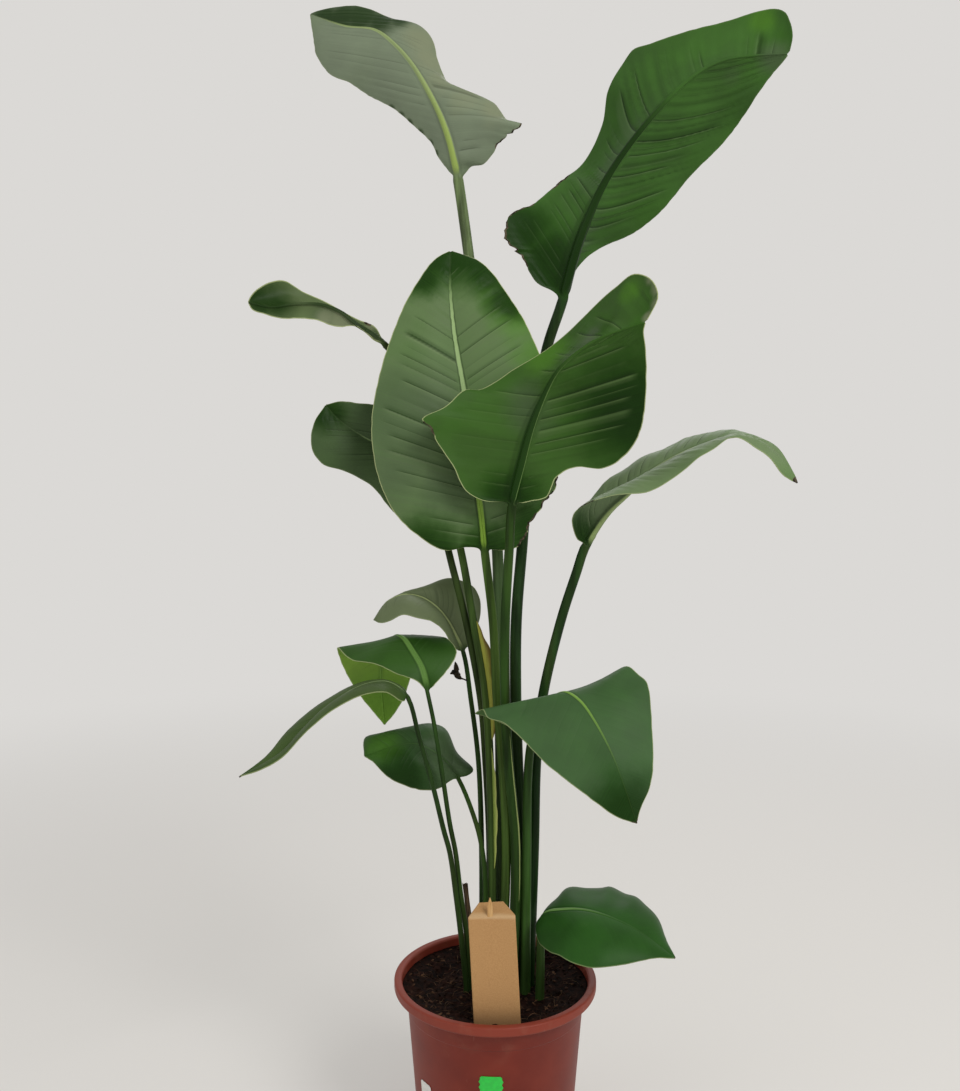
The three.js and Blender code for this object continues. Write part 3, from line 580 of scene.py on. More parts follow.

# %% [markdown]
# ## The look of each leaf
#
# No two leaves are alike: old ones have torn, brown corners, young ones are brighter, and a waxy bloom
# greys some of them, with a sheen painted into that grey. Each leaf therefore has its own short list of
# colours and spots:
#
# - upper, under, rib, rib_tip, stalk and foot are colours, the last one for the stalk's lower part
# - the wax entry gives the colour and strength of the waxy bloom and of a sheen painted with it, and rind
#   the strength of the cream line at the margin
# - pleat is the distance between two creases and their height, in millimetres
# - veins are the creases' angles seen from the front, from the base to the tip, for each half; sweep
#   says instead how far they lean forward on the left, on the right, and more towards the tip
# - ridge is how far the rib stands up, as a share of its depth below
# - band is half the width of the rib's colour at the base and at the tip, for each half; fade says
#   where that colour ends, and line and shade how strong the painted highlight and the painted shade
#   beside it are
# - the rest are spots: a place on the leaf and a radius, in millimetres. A third number keeps a spot to
#   the left half, -1, or the right half, 1. For torn it is the depth of the tear. The deep spots are
#   painted shade, the lit ones painted light, and the grey and faded ones a painted sheen.

# %% Colours and spots of each leaf
LOOKS = {
    "leaf_top_left": dict(
        upper="66745a", under="2c5216", rib="98ae58", rib_tip="94a66e", stalk="60704a", foot="3c5230",
        wax_and_sheen=("7f8a76", 0.6), rind=0.25, pleat=(15, 1.0), ridge=0.45, fade=(0.8, 1.0), shade=0.1,
        veins=((150, 160, 165, 168, 172), (20, 0, -14, -26, -16, -6)), band=((5.2, 1.4), (4.2, 1)),
        torn=[((37, 76, 1249), 12, 4), ((25, 78, 1237), 14, 6), ((7, 80, 1228), 12, 3)],
        deep=[
            ((-213, 106, 1397), 34, 1), ((-190, 102, 1392), 44, 1), ((-166, 98, 1389), 44, 1),
            ((-140, 94, 1381), 36, 1), ((-120, 92, 1378), 22, 1), ((-128, 92, 1276), 7, -1),
            ((-116, 91, 1266), 8, -1), ((-105, 90, 1257), 8, -1), ((-92, 89, 1244), 8, -1),
            ((-79, 88, 1231), 8, -1), ((-72, 87, 1218), 7, -1),
        ],
        pale_sheen=[
            ((-92, 84, 1352), 36, 1), ((-82, 80, 1327), 36, 1), ((-67, 80, 1299), 36, 1),
            ((-37, 80, 1275), 36, 1), ((-4, 80, 1262), 34, 1),
        ],
    ),
    "leaf_top_right": dict(
        upper="264617", under="335c1c", rib="18310d", stalk="22381a", wax_and_sheen=("5d774c", 0.2), rind=0.1,
        pleat=(12, 3.0), fade=(0.5, 0.72), line=0.9, band=((3.4, 1.4), (10, 3)),
        veins=((32, 18, 12, 8, 0), (128, 112, 104, 95, 70)),
        calm=[((30, 30, 1085), 110, 1), ((250, -50, 1300), 60, 1)],
        torn=[
            ((26, 28, 1078), 26, 5), ((10, 26, 1096), 30, 7), ((30, 34, 1136), 26, 5),
            ((79, 50, 1171), 22, 3),
        ],
        deep=[((60, 32, 1066), 70), ((30, 28, 1105), 60)],
        lit=[((289, -64, 1308), 22)],
        grey_sheen=[((300, -70, 1264), 26), ((262, -40, 1262), 22)],
    ),
    "leaf_upper_left": dict(
        upper="3f6128", under="55683f", rib="26391a", stalk="2e3d1b", wax_and_sheen=("6f7a5a", 0.3), rind=0.8,
        pleat=(9, 0.6), sweep=(1.6, 1.6, 0.2), fade=(0.5, 0.8),
        torn=[((-156, 64, 1004), 7, 1.5)],
        deep=[((-280, 28, 1025), 40), ((-263, 30, 1027), 40)],
        grey_sheen=[((-180, 44, 998), 30), ((-205, 42, 1006), 24)],
        pale_sheen=[((-187, 44, 1002), 22), ((-205, 42, 1006), 17), ((-152, 62, 1001), 11)],
    ),
    "leaf_middle_left": dict(
        upper="30491f", under="4a6635", rib="a2bb84", stalk="384c22", wax_and_sheen=("56674a", 0.5), rind=0.3,
        pleat=(8, 1.2), veins=((184, 181, 176), (160, 168, 172)), fade=(0.45, 0.8), line=0.7,
        band=((1.6, 1), (1.6, 1)),
        torn=[((-65, 30, 825), 8, 2)],
        deep=[((-200, 12, 890), 35)],
        lit=[((-196, 14, 893), 13)],
    ),
    "leaf_tall_centre": dict(
        upper="3a6420", under="4c6b38", rib="86ab40", rib_tip="9ab57c", stalk="405824",
        wax_and_sheen=("6a7c58", 0.75), rind=1.0, pleat=(13.5, 2.0), ridge=0.4, fade=(0.74, 0.93), shade=0.45,
        veins=((173, 168, 158, 155, 149, 143, 134), (16, 24, 30, 35, 41, 50)), band=((5, 1.2), (5, 1.2)),
        torn=[
            ((57, -14, 788), 18, 5), ((38, -16, 763), 18, 5), ((28, -16, 742), 14, 3),
            ((74, -12, 810), 12, 3),
        ],
        deep=[
            ((-51, 32, 1094), 84), ((-34, 30, 1076), 66), ((-66, 28, 1072), 60), ((-86, 20, 1046), 44),
            ((-10, 24, 1056), 56), ((14, 18, 1020), 46),
            ((-10, -10, 712), 74), ((-78, -22, 724), 66), ((48, -14, 745), 66),
        ],
        grey_sheen=[((-100, -26, 880), 90), ((-60, -20, 800), 60), ((-110, -20, 820), 60)],
        lit=[((23, 12, 998), 50), ((6, 16, 1030), 40), ((50, 2, 950), 50)],
    ),
    "leaf_front_right": dict(
        upper="244711", under="29500f", rib="1d3a10", stalk="284118", wax_and_sheen=("66804e", 0.22), rind=0.9,
        pleat=(13, 2.2), fade=(0.5, 0.75), line=0.6, band=((1.8, 0.8), (9, 3)),
        veins=((12, 11, 14, 20, 26, 30), (171, 173, 172, 164, 140, 112)),
        calm=[((-20, -60, 845), 115, 1)],
        torn=[((-74, -70, 864), 14, 4)],
        deep=[((144, -92, 880), 98, -1), ((16, -46, 780), 60)],
        lit=[((60, -40, 945), 44), ((140, -110, 1003), 22)],
        grey_sheen=[((40, -50, 885), 46), ((108, -90, 956), 26)],
        pale_sheen=[
            ((162, -141, 1000), 12, 1), ((160, -146, 985), 12, 1), ((156, -132, 1012), 10, 1),
            ((153, -143, 971), 10, 1),
        ],
    ),
    "leaf_right": dict(
        upper="53723c", under="2a4a1c", rib="8fa368", stalk="1c3616", wax_and_sheen=("7d8d6c", 0.6), rind=0.5,
        pleat=(11, 1.4), sweep=(0.6, 0.6, 0.3), fade=(0.7, 0.9),
        torn=[((100, -42, 782), 16, 4)],
        deep=[((95, -10, 742), 46)],
        dead=[((350, -15, 806), 12)],
    ),
    "leaf_inner_left": dict(
        upper="55643f", under="3a552b", rib="a6b27c", stalk="263f1c", wax_and_sheen=("707a5e", 0.6), rind=0.3,
        pleat=(8, 0.7), sweep=(0.6, 0.6, 0.3), fade=(0.7, 0.9), line=0.6, band=((2.4, 1.2), (2.4, 1.2)),
    ),
    "leaf_low_left_hanging": dict(
        upper="26480f", under="84a840", rib="5f8440", stalk="28411a", wax_and_sheen=("5f7f50", 0.15), rind=0.7,
        pleat=(10, 0.4), sweep=(0.4, 0.4, 0.3), ridge=0.3, fade=(0.5, 0.9), band=((4.5, 1.6), (4.5, 1.6)),
        deep=[((-80, 20, 620), 50)],
        lit=[((-136, 50, 520), 90)],
    ),
    "leaf_low_left_front": dict(
        upper="2c491a", under="35522a", rib="84986a", stalk="263c19", wax_and_sheen=("6a744a", 0.3), rind=0.6,
        pleat=(8, 0.7), sweep=(1.2, 1.2, 0.2), fade=(0.6, 0.95),
        dead=[((-280, -98, 485), 6)],
    ),
    "leaf_low_inner": dict(
        upper="244818", under="3a5a2a", rib="3e5a30", stalk="2b4419", wax_and_sheen=("5f6f58", 0.25), rind=0.5,
        pleat=(10, 0.7), sweep=(0.5, 0.5, 0.3), fade=(0.5, 0.9),
        deep=[((-110, -15, 460), 50)],
        grey_sheen=[((-45, -10, 480), 62)],
        lit=[((-134, -15, 504), 40)],
    ),
    "leaf_low_front": dict(
        upper="2c5220", under="4c6a34", rib="7fa64a", stalk="385626", wax_and_sheen=("5c7154", 0.36), rind=0.6,
        pleat=(16, 0.22), sweep=(0.6, 0.6, 0.3), ridge=0.25, fade=(0.35, 0.8),
        torn=[((149, -118, 440), 8, 2)],
        deep=[((143, -110, 447), 72)],
        dead=[((150, -118, 438), 5)],
    ),
    "leaf_bottom_right": dict(
        upper="264d19", under="3f5f2c", rib="6f9452", stalk="365624", wax_and_sheen=("456040", 0.06), rind=0.4,
        pleat=(14, 0.16), sweep=(0.7, 0.7, 0.3), fade=(0.15, 0.6),
        dead=[((201, -72, 273), 4)],
    ),
}
PLAIN_LOOK = dict(
    sweep=(0, 0, 0), ridge=0.16, line=0, band=None, veins=None, rib_tip=None, foot=None, shade=0.25,
    calm=[], torn=[], deep=[], lit=[], dead=[], pale_sheen=[], grey_sheen=[],
)
# Painted light and shade in spots: a grey sheen, light, shade and a pale sheen, each a colour and how far it
# covers.
PAINTED_LIGHT_AND_SHADE_COLOURS = {
    "grey_sheen": ("4c5c42", 0.7), "lit": ("4f7f24", 0.6), "deep": ("16300a", 0.92), "pale_sheen": ("80866a", 0.7),
}
SPOTS = (*PAINTED_LIGHT_AND_SHADE_COLOURS, "calm")

# %% [markdown]
# ## The leaf surface
#
# A blade could be a flat card with a picture of a leaf on it, but a card looks like card from the side.
# Here the blade is a closed skin with two faces. It is creased along its side veins, its midrib is a
# low ridge above and a round keel below, and it grows out of the round, grooved stalk. The leaf is
# built up in five small classes, each of which adds one thing to the one before.

# %% Driving dimensions of the leaf surface, in millimetres
BLADE_THICKNESS = 0.9
MARGIN_THICKNESS = 0.5
RIB_END = 0.5
ROOT_ZS = (188, 200)
STALK_STEP = 9
BLADE_STEP = 2.4
COLUMN_STEP = 2.6
TOOTH_WIDTH = 2.3
FINE_TEETH_DEPTH = 0.7
VEIN_BEND = 900
CREASE_RUN_OUT = 16
BROWN_DEPTH = 3

# %% Driving shares of the leaf surface
BLADE_END = 0.994
BLADE_BASE = 0.05
RIB_TAPER = 1.25
RIB_BAND = 0.65
STALK_GROOVE = 0.17
LEFT_WAVE_LAG = 0.37
STEP_CROWDING = 1.25
RIB_COLUMNS = np.array([0.25, 0.5, 0.75, 0.92, 1.1])
LAST_COLUMNS = (0.985, 1)
MARGIN_TAPER = 0.08
CALM = 0.7


# %% Teeth and spots
def ragged(distance, seed, teeth=512):
    """A jagged line from 0 to 1: a random height at every tooth, joined by straight lines."""
    heights = np.random.default_rng(seed).random(teeth) ** 1.6
    knots = distance / TOOTH_WIDTH
    low = np.floor(knots).astype(int)
    share = knots - low
    return heights[low % teeth] * (1 - share) + heights[(low + 1) % teeth] * share


def near_spots(points, q, spots):
    """How near each point is to any of the spots: 1 at the middle, falling evenly to 0 at its radius."""
    nearness = np.zeros(points.shape[:-1])
    for place, radius, *half in spots:
        distance = np.linalg.norm(points - np.array(place, float), axis=-1)
        kept = q * half[0] > 0 if half else 1
        nearness = np.maximum(nearness, kept * (1 - distance / radius))
    return nearness


# %% The leaf's lines and the blade's grid
class LeafLines:
    """A stalk, a midrib and two margins, and a grid on the blade between them."""

    def __init__(self, name, thick, stalk, rib, left, right, wave, belly):
        self.name, self.thick, self.wave, self.belly = name, thick, wave, belly
        self.look = PLAIN_LOOK | LOOKS[name]
        self.seed = sum(map(ord, name))
        whole = smooth_line([*stalk, *rib])
        start = LINE_STEPS * len(stalk)
        self.root = stalk[0][:2]
        self.stalk = Line(whole[: start + 1])
        self.rib = Line(whole[start:])
        self.margins = [Line(smooth_line([rib[0], *side, rib[-1]])) for side in (left, right)]
        base = [margin.at(np.array([BLADE_BASE]))[0] for margin in self.margins]
        self.side = unit(base[1] - base[0])

    def keel(self, u):
        """How far the rib stands out below: the stalk's radius at the base, falling to the tip."""
        return RIB_END + (self.thick[1] - RIB_END) * (1 - u) ** RIB_TAPER

    def columns(self, width, u, blade):
        """Shares of a half's width: five within the rib's own width, and the blade's from there."""
        edge = np.clip(self.keel(u) / np.maximum(width, 0.1), 0.04, 0.3)[:, None]
        out = edge * RIB_COLUMNS[-1]
        return np.hstack([edge * RIB_COLUMNS, out + (1 - out) * blade])

    def blade_grid(self):
        """Shares u along the blade and q from the left margin, -1, over the rib, 0, to the right, 1."""
        count = int(self.rib.length / BLADE_STEP)
        u = BLADE_END * (np.arange(count + 1) / count) ** STEP_CROWDING
        widths = [np.linalg.norm(margin.at(u) - self.rib.at(u), axis=-1) for margin in self.margins]
        steps = max(8, int(max(width.max() for width in widths) / COLUMN_STEP))
        blade = np.append(np.linspace(0, 1, steps, endpoint=False)[1:], LAST_COLUMNS)
        left, right = (self.columns(width, u, blade) for width in widths)
        q = np.hstack([-left[:, ::-1], np.zeros((len(u), 1)), right])
        return np.broadcast_to(u[:, None], q.shape), q


# %% The blade's middle sheet
class Sheet(LeafLines):
    """The blade without thickness or creases."""

    def sheet(self, u, q):
        """The points of the sheet.

        A point lies on the line from the rib to the margin at the same share u of their lengths. A
        belly lifts the middle of each half, 4a(1 - a) times its width, and ripples grow with the
        square of the reach a, with a sine along the margin.
        """
        reach = np.abs(q)[..., None]
        rib, tangent = self.rib.at(u), self.rib.tangent(u)
        left = (q < 0)[..., None]
        span = np.where(left, self.margins[0].at(u), self.margins[1].at(u)) - rib
        width = np.linalg.norm(span, axis=-1, keepdims=True)
        up = unit(np.cross(np.where(left, -span, span), tangent))
        height, number, start = self.wave
        turns = number * u[..., None] + start + LEFT_WAVE_LAG * left
        swell = np.sqrt(np.clip(4 * u * (1 - u), 0, 1))[..., None]
        ripple = height * reach**2 * np.sin(2 * np.pi * turns) * swell
        belly = np.where(left, *self.belly) * width * 4 * reach * (1 - reach)
        torn = self.tear(rib + span, u)[..., None] * reach**2 / np.maximum(width, 1)
        return rib + span * (reach - torn) + up * (belly + ripple)

    def tear(self, margin, u):
        """How far the margin is torn in, in millimetres: all over a little, and deep at the spots."""
        along = u * self.rib.length
        fine = FINE_TEETH_DEPTH * ragged(along / 2, self.seed)
        deep = np.zeros(u.shape)
        for place, radius, depth in self.look["torn"]:
            distance = np.linalg.norm(margin - np.array(place, float), axis=-1)
            deep += depth * smooth(1.5 * (1 - distance / radius)) * ragged(along, self.seed + 1)
        return fine + deep


# %% [markdown]
# A crease is a side vein along which the blade is folded a little. To know where a point lies between
# two creases, every point gets a number that goes up by one from crease to crease. The same number
# places the dark lines of the finish later.


# %% Side veins and creases
class CreasedSheet(Sheet):
    """The blade's sheet with its side veins."""

    def vein_start(self, sheet, u, angles):
        """The share of the rib at which the side vein through each point starts.

        Seen from the front, a vein is a straight line that leaves the rib at an angle in degrees,
        which turns evenly through the given ones. How far a point lies off that line, dx sin - dz cos,
        is worked out for many starts, and the vein through it starts where that changes sign.
        """
        starts = np.linspace(-0.3, 1.3, 161)
        on = np.clip(starts, 0, 1)
        places = self.rib.at(on) + self.rib.tangent(on) * ((starts - on) * self.rib.length)[:, None]
        angle = np.radians(np.interp(on, np.linspace(0, 1, len(angles)), angles))
        dx, dz = sheet[..., :1] - places[:, 0], sheet[..., 2:] - places[:, 2]
        off = dx * np.sin(angle) - dz * np.cos(angle)
        crossed = off[..., :-1] * off[..., 1:] <= 0
        far = np.where(crossed, np.abs(starts[:-1] - u[..., None]), np.inf)
        first = far.argmin(-1)[..., None]
        before, after = (np.take_along_axis(off, first + k, -1)[..., 0] for k in (0, 1))
        step = (starts[1] - starts[0]) * before / np.where(before == after, 1, before - after)
        return np.where(crossed.any(-1), starts[first[..., 0]] + step, u)

    def swept_start(self, sheet, u, q):
        """The place on the rib, in millimetres, of a vein that sweeps forward as it goes out: the
        place beside the point, less the sweep times the distance, less the bend."""
        across = sheet - self.rib.at(u)
        forward = (across * self.rib.tangent(u)).sum(-1)
        aside = np.sqrt(np.maximum((across**2).sum(-1) - forward**2, 0))
        left, right, growth = self.look["sweep"]
        sweep = np.where(q < 0, left, right) + growth * u
        return u * self.rib.length + forward - aside * sweep - aside**2 / VEIN_BEND

    def pleats(self, u, q, sheet):
        """Counts the side veins: 0 at the base of the blade, and one more at every crease.

        The number is the place on the rib where a vein starts, over the distance between creases.
        Two sines make the distances uneven, and the halves are shifted against each other.
        """
        if self.look["veins"]:
            halves = (self.vein_start(sheet, u, angles) for angles in self.look["veins"])
            spring = np.where(q < 0, *halves) * self.rib.length
        else:
            spring = self.swept_start(sheet, u, q)
        count = spring / self.look["pleat"][0]
        shift = np.where(q < 0, 0.35, 0.0)
        uneven = 0.22 * np.sin(1.9 * count + self.seed) + 0.12 * np.sin(4.3 * count + 2 * shift)
        return count + shift + uneven

    def folds(self, sheet, u, q, pleat, rib, from_margin, chances=400):
        """How far the creases lift the sheet, in millimetres.

        From one crease to the next the sheet rises evenly and drops in the last quarter, with an arch
        on top. Each fold has a random strength. All of them run out at the rib, at the margin, at
        both ends of the blade and at the calm spots.
        """
        fold = np.floor(pleat)
        strong = 0.3 + 0.7 * np.random.default_rng(self.seed).random(chances)[fold.astype(int) % chances]
        share = pleat - fold
        fan = 0.6 * (share - smooth((share - 0.75) / 0.25)) + 0.4 * np.sin(np.pi * share) ** 0.8
        spread = smooth((rib - 0.8) / 1.5) * smooth(from_margin / CREASE_RUN_OUT)
        spread = spread * smooth(u / 0.1) * smooth((1 - u) / 0.12)
        spread = spread * (1 - CALM * near_spots(sheet, q, self.look["calm"]))
        return self.look["pleat"][1] * (fan * strong - 0.4) * spread


# %% The blade's two faces
class Blade(CreasedSheet):
    """The blade with its thickness and its rib."""

    def faces(self, sheet, rib, reach, keel):
        """The upper and the lower face.

        The blade thins towards its margin. Above, the rib is a flat-topped ridge with a shallow
        groove beside it; below, it is a keel, round like a circle.
        """
        inner = smooth((1 - reach) / MARGIN_TAPER)
        half = MARGIN_THICKNESS / 2 + (BLADE_THICKNESS - MARGIN_THICKNESS) / 2 * inner
        ridge = self.look["ridge"] * np.exp(-((rib / 0.55) ** 4))
        groove = 0.1 * np.exp(-(((rib - 0.85) / 0.25) ** 2))
        round_keel = np.sqrt(np.clip(1 - (rib / 1.02) ** 2, 0, 1))
        above, below = half + (ridge - groove) * keel, half + round_keel * keel
        normal = normals(sheet)
        return sheet + normal * above[..., None], sheet - normal * below[..., None]

    def band(self, u, q, aside, keel):
        """The distance from the rib's middle line, over half the width of the rib's colour."""
        if not self.look["band"]:
            return aside / (RIB_BAND * keel)
        near, far = np.where((q < 0)[..., None], *np.array(self.look["band"], float)).transpose(2, 0, 1)
        return aside / (near + (far - near) * u)

    def dryness(self, sheet, q, from_margin):
        """1 where the leaf has gone brown: along the torn margins and at the dead spots."""
        tears = [(place, 1.15 * radius) for place, radius, _ in self.look["torn"]]
        torn, dead = (smooth(1.4 * near_spots(sheet, q, spots)) for spots in (tears, self.look["dead"]))
        return np.maximum(torn * smooth(1.3 - from_margin / BROWN_DEPTH), dead)

    def blade(self):
        """The rings of the blade, and what the finish has to know at each corner."""
        u, q = self.blade_grid()
        flat = self.sheet(u, q)
        keel, reach = self.keel(u), np.abs(q)
        margin = np.where((q < 0)[..., None], flat[:, :1], flat[:, -1:])
        width = np.linalg.norm(margin - self.rib.at(u), axis=-1)
        aside, from_margin = reach * width, (1 - reach) * width
        rib = aside / keel
        pleat = self.pleats(u, q, flat)
        folds = self.folds(flat, u, q, pleat, rib, from_margin)
        sheet = flat + normals(flat) * folds[..., None]
        upper, lower = self.faces(sheet, rib, reach, keel)
        fields = {
            "along": u * self.rib.length,
            "pleat": pleat,
            "rib": rib,
            "band": np.minimum(self.band(u, q, aside, keel), 9),
            "margin": from_margin,
            "tip": u,
            "left": smooth(0.5 - q * width / 2),
            "dry": self.dryness(sheet, q, from_margin),
        }
        fields |= {key: near_spots(sheet, q, self.look[key]) for key in SPOTS}
        fields = {key: two_sided(value, value) for key, value in fields.items()}
        fields["upper"] = np.hstack([np.ones(u.shape), np.zeros(u.shape)])
        return u[:, 0], two_sided(upper, lower), fields


# %% From the root to the tip
class Leaf(Blade):
    """The whole leaf as one row of rings, each with as many corners as the blade."""

    def tube(self, places, tangents, radii, corners):
        """Rings round a row of places. The ring starts at the left, goes over the upper side, where
        a groove is sunk a sixth of the radius deep, and comes back below."""
        across = unit(self.side - tangents * (tangents @ self.side)[:, None])
        angle = np.pi - (np.arange(corners) + 0.5) * 2 * np.pi / corners
        groove = 1 - STALK_GROOVE * np.exp(-(((angle - np.pi / 2) / 0.42) ** 2))
        radius = np.asarray(radii)[:, None] * groove
        return rings_round(places, across, np.cross(across, tangents), angle, radius)

    def rings(self):
        """All rings from the root in the soil to the tip. The blade grows out of the round stalk over
        its first twentieth."""
        u, blade, fields = self.blade()
        corners = blade.shape[1]
        low, high = self.thick
        share = np.linspace(0, 1, int(self.stalk.length / STALK_STEP), endpoint=False)[1:]
        root = np.array([[*self.root, z] for z in (*ROOT_ZS, COLLAR_Z)], float)
        upright = np.tile([0.0, 0, 1], (len(root), 1))
        foot = self.tube(root, upright, [low] * len(root), corners)
        radii = low + (high - low) * share
        stem = self.tube(self.stalk.at(share), self.stalk.tangent(share), radii, corners)
        start = self.tube(self.rib.at(u), self.rib.tangent(u), [high] * len(u), corners)
        blend = smooth(u / BLADE_BASE)[:, None, None]
        rings = np.concatenate([foot, stem, start + (blade - start) * blend])
        lower = len(foot) + len(stem)
        rest = dict.fromkeys(fields, 0.0) | {"margin": 50.0}
        distance = np.concatenate([[-self.stalk.length] * len(foot), (share - 1) * self.stalk.length])
        rest["along"] = distance[:, None]
        rest["upper"] = np.repeat([1.0, 0.0], corners // 2)[None]
        for key, value in rest.items():
            fields[key] = np.vstack([np.broadcast_to(value, (lower, corners)), fields[key]])
        return rings, fields


# %% [markdown]
# ## The leaf's finish
#
# The colour of a leaf is never even. Under the bloom the green varies in soft patches, fine parallel
# veins run between the creases, the midrib is pale, and the very margin is a thin cream line. Light and
# shade are painted in as well: a sheen in the bloom's grey, a dark line of painted shadow and a soft
# painted light along each crease, a painted highlight and painted shade beside the midrib, and spots of
# painted light, shade and sheen. All of that follows numbers that the mesh carries, so it fits the shape
# exactly. The finish is built up like a painting: each function takes the colour so far and lays one
# thing over it.

# %% Colours that are the same on every leaf
LEAF_SHINE = 0.1
MARGIN_CREAM = "b6c08a"
# The colour of a painted highlight along one side of the midrib.
RIB_HIGHLIGHT = "7d9c5c"
STALK_OLIVE = "5c6c34"
BROWN_DARK, BROWN_PALE = "241f18", "5c5442"
LEAF_FIELDS = ("pleat", "rib", "margin", "along", "tip", "upper", "band", "left", "dry")


def darker(code, factor):
    """A web colour with each part multiplied, and kept below 256."""
    return "".join(f"{min(255, round(int(code[k : k + 2], 16) * factor)):02x}" for k in (0, 2, 4))


def shades(code, low, high):
    """A darker and a brighter shade of a web colour."""
    return [colour(darker(code, factor)) for factor in (low, high)]


# %% Green, bloom with a painted sheen, and spots of painted light and shade
def greens(f, look, at, patches):
    """Each face's green, in patches."""
    under, upper = (f.mix(patches, *shades(look[face], 0.92, 1.08)) for face in ("under", "upper"))
    return f.mix(at["upper"].rise(0.3, 0.7), under, upper)


def bloom_and_sheen_share(f, look, at, spots):
    """How strong the bloom and the sheen painted with it are: patchy, missing at the base, weak at the tip
    and gone where shade is painted.
    """
    uneven_bloom_and_sheen = f.noise(0.07, 2).rise(0.1, 0.65) * 0.35 + 0.65
    ends = at["tip"].rise(0.02, 0.12) * (1 - at["tip"].rise(0.86, 0.99) * 0.6)
    return uneven_bloom_and_sheen * look["wax_and_sheen"][1] * (1 - spots["deep"]) * ends


def lay_spots(f, base, spots):
    """Spots of painted sheen, painted light, painted shade and a pale painted sheen, in that order."""
    for key, (code, strength) in PAINTED_LIGHT_AND_SHADE_COLOURS.items():
        base = f.mix(spots[key] * strength, base, colour(code))
    return base


# %% Creases and fine veins
def lay_creases(f, look, at, base, calm):
    """Marks along the creases: a soft shadow before each, a soft light after it, and a sharp line of
    each kind. By chance, a crease is strong or weak and starts or ends early."""
    upper, wax_and_sheen, (spacing, height) = look["upper"], look["wax_and_sheen"][0], look["pleat"]
    index = at["pleat"].math("ROUND")
    kind = {"noise_dimensions": "1D"}
    chances = [f.node("ShaderNodeTexWhiteNoise", kind, {"W": index + k}) for k in (0, 0.3, 0.6)]
    gap = (at["pleat"] - index) * spacing
    reach = (at["rib"] - chances[1] * 1.5).rise(0.9, 2.2) * (at["margin"] - chances[2] * 24).rise(1, 16)
    strength = chances[0].rise(0.25, 0.8) * reach * (1 - calm * 0.8)
    near = 1 - gap.math("ABSOLUTE").rise(0.3, 0.45 * spacing)
    past = gap.rise(-0.4, 0.4)
    dark_line = 1 - (gap - 0.2).math("ABSOLUTE").rise(0.1, 0.75)
    light_line = 1 - (gap + 0.8).math("ABSOLUTE").rise(0.1, 0.7)
    marks = [
        (near * past, 0.2, 0.5, darker(upper, 0.5)),
        (near * (1 - past), 0.15, 0.35, wax_and_sheen),
        (dark_line, 0.42, 0.65, darker(upper, 0.42)),
        (light_line, 0.12, 0.3, darker(wax_and_sheen, 1.15)),
    ]
    for mark, growth, most, code in marks:
        base = f.mix(mark * strength * min(most, growth * height), base, colour(code))
    return base


# %% The midrib and the margin
def lay_midrib(f, look, at, base):
    """The rib's colour, which fades towards the tip, painted shade beside it and a thin painted highlight."""
    fading = 1 - at["tip"].rise(*look["fade"]) * 0.95
    on_blade = at["along"].rise(4, 20)
    rib_side_shade = (1 - (at["band"] - 1.25).math("ABSOLUTE").rise(0.05, 0.5)) * fading * on_blade
    base = f.mix(rib_side_shade * look["shade"], base, colour(darker(look["upper"], 0.5)))
    band = (1 - at["band"].rise(0.6, 1.1)) * fading * on_blade
    rib = f.mix(at["tip"].rise(0.1, 0.5), colour(look["rib"]), colour(look["rib_tip"] or look["rib"]))
    base = f.mix(band * 0.9, base, rib)
    if look["line"]:
        # A thin painted highlight beside the rib, on the left half.
        rib_highlight = (1 - (at["band"] - 1).math("ABSOLUTE").rise(0.1, 0.45)) * at["left"]
        base = f.mix(rib_highlight * fading * look["line"], base, colour(RIB_HIGHLIGHT))
    return base


def lay_margin(f, look, at, base):
    """The cream line at the margin, about a millimetre wide."""
    edge = (1 - at["margin"].rise(0.5, 1.3)) * at["along"].rise(4, 14) * look["rind"]
    return f.mix(edge * 0.85, base, colour(MARGIN_CREAM))


# %% The stalk
def stalk_colour(f, look):
    """Long streaks of two shades with olive patches, darker near the soil."""
    streaks = f.noise(0.009, 4, (1, 1, 0.05)).rise(0.3, 0.75)
    stem = f.mix(streaks, *shades(look["stalk"], 0.72, 1.22))
    olive = f.noise(0.03, 2, (1, 1, 0.12)).rise(0.4, 0.75)
    stem = f.mix(olive * 0.25, stem, colour(STALK_OLIVE))
    if look["foot"]:
        stem = f.mix((1 - f.height_above(0.75, 1.1)) * 0.85, stem, colour(look["foot"]))
    return f.mix((1 - f.height_above(0.2, 0.3)) * 0.4, stem, colour(darker(look["stalk"], 0.6)))


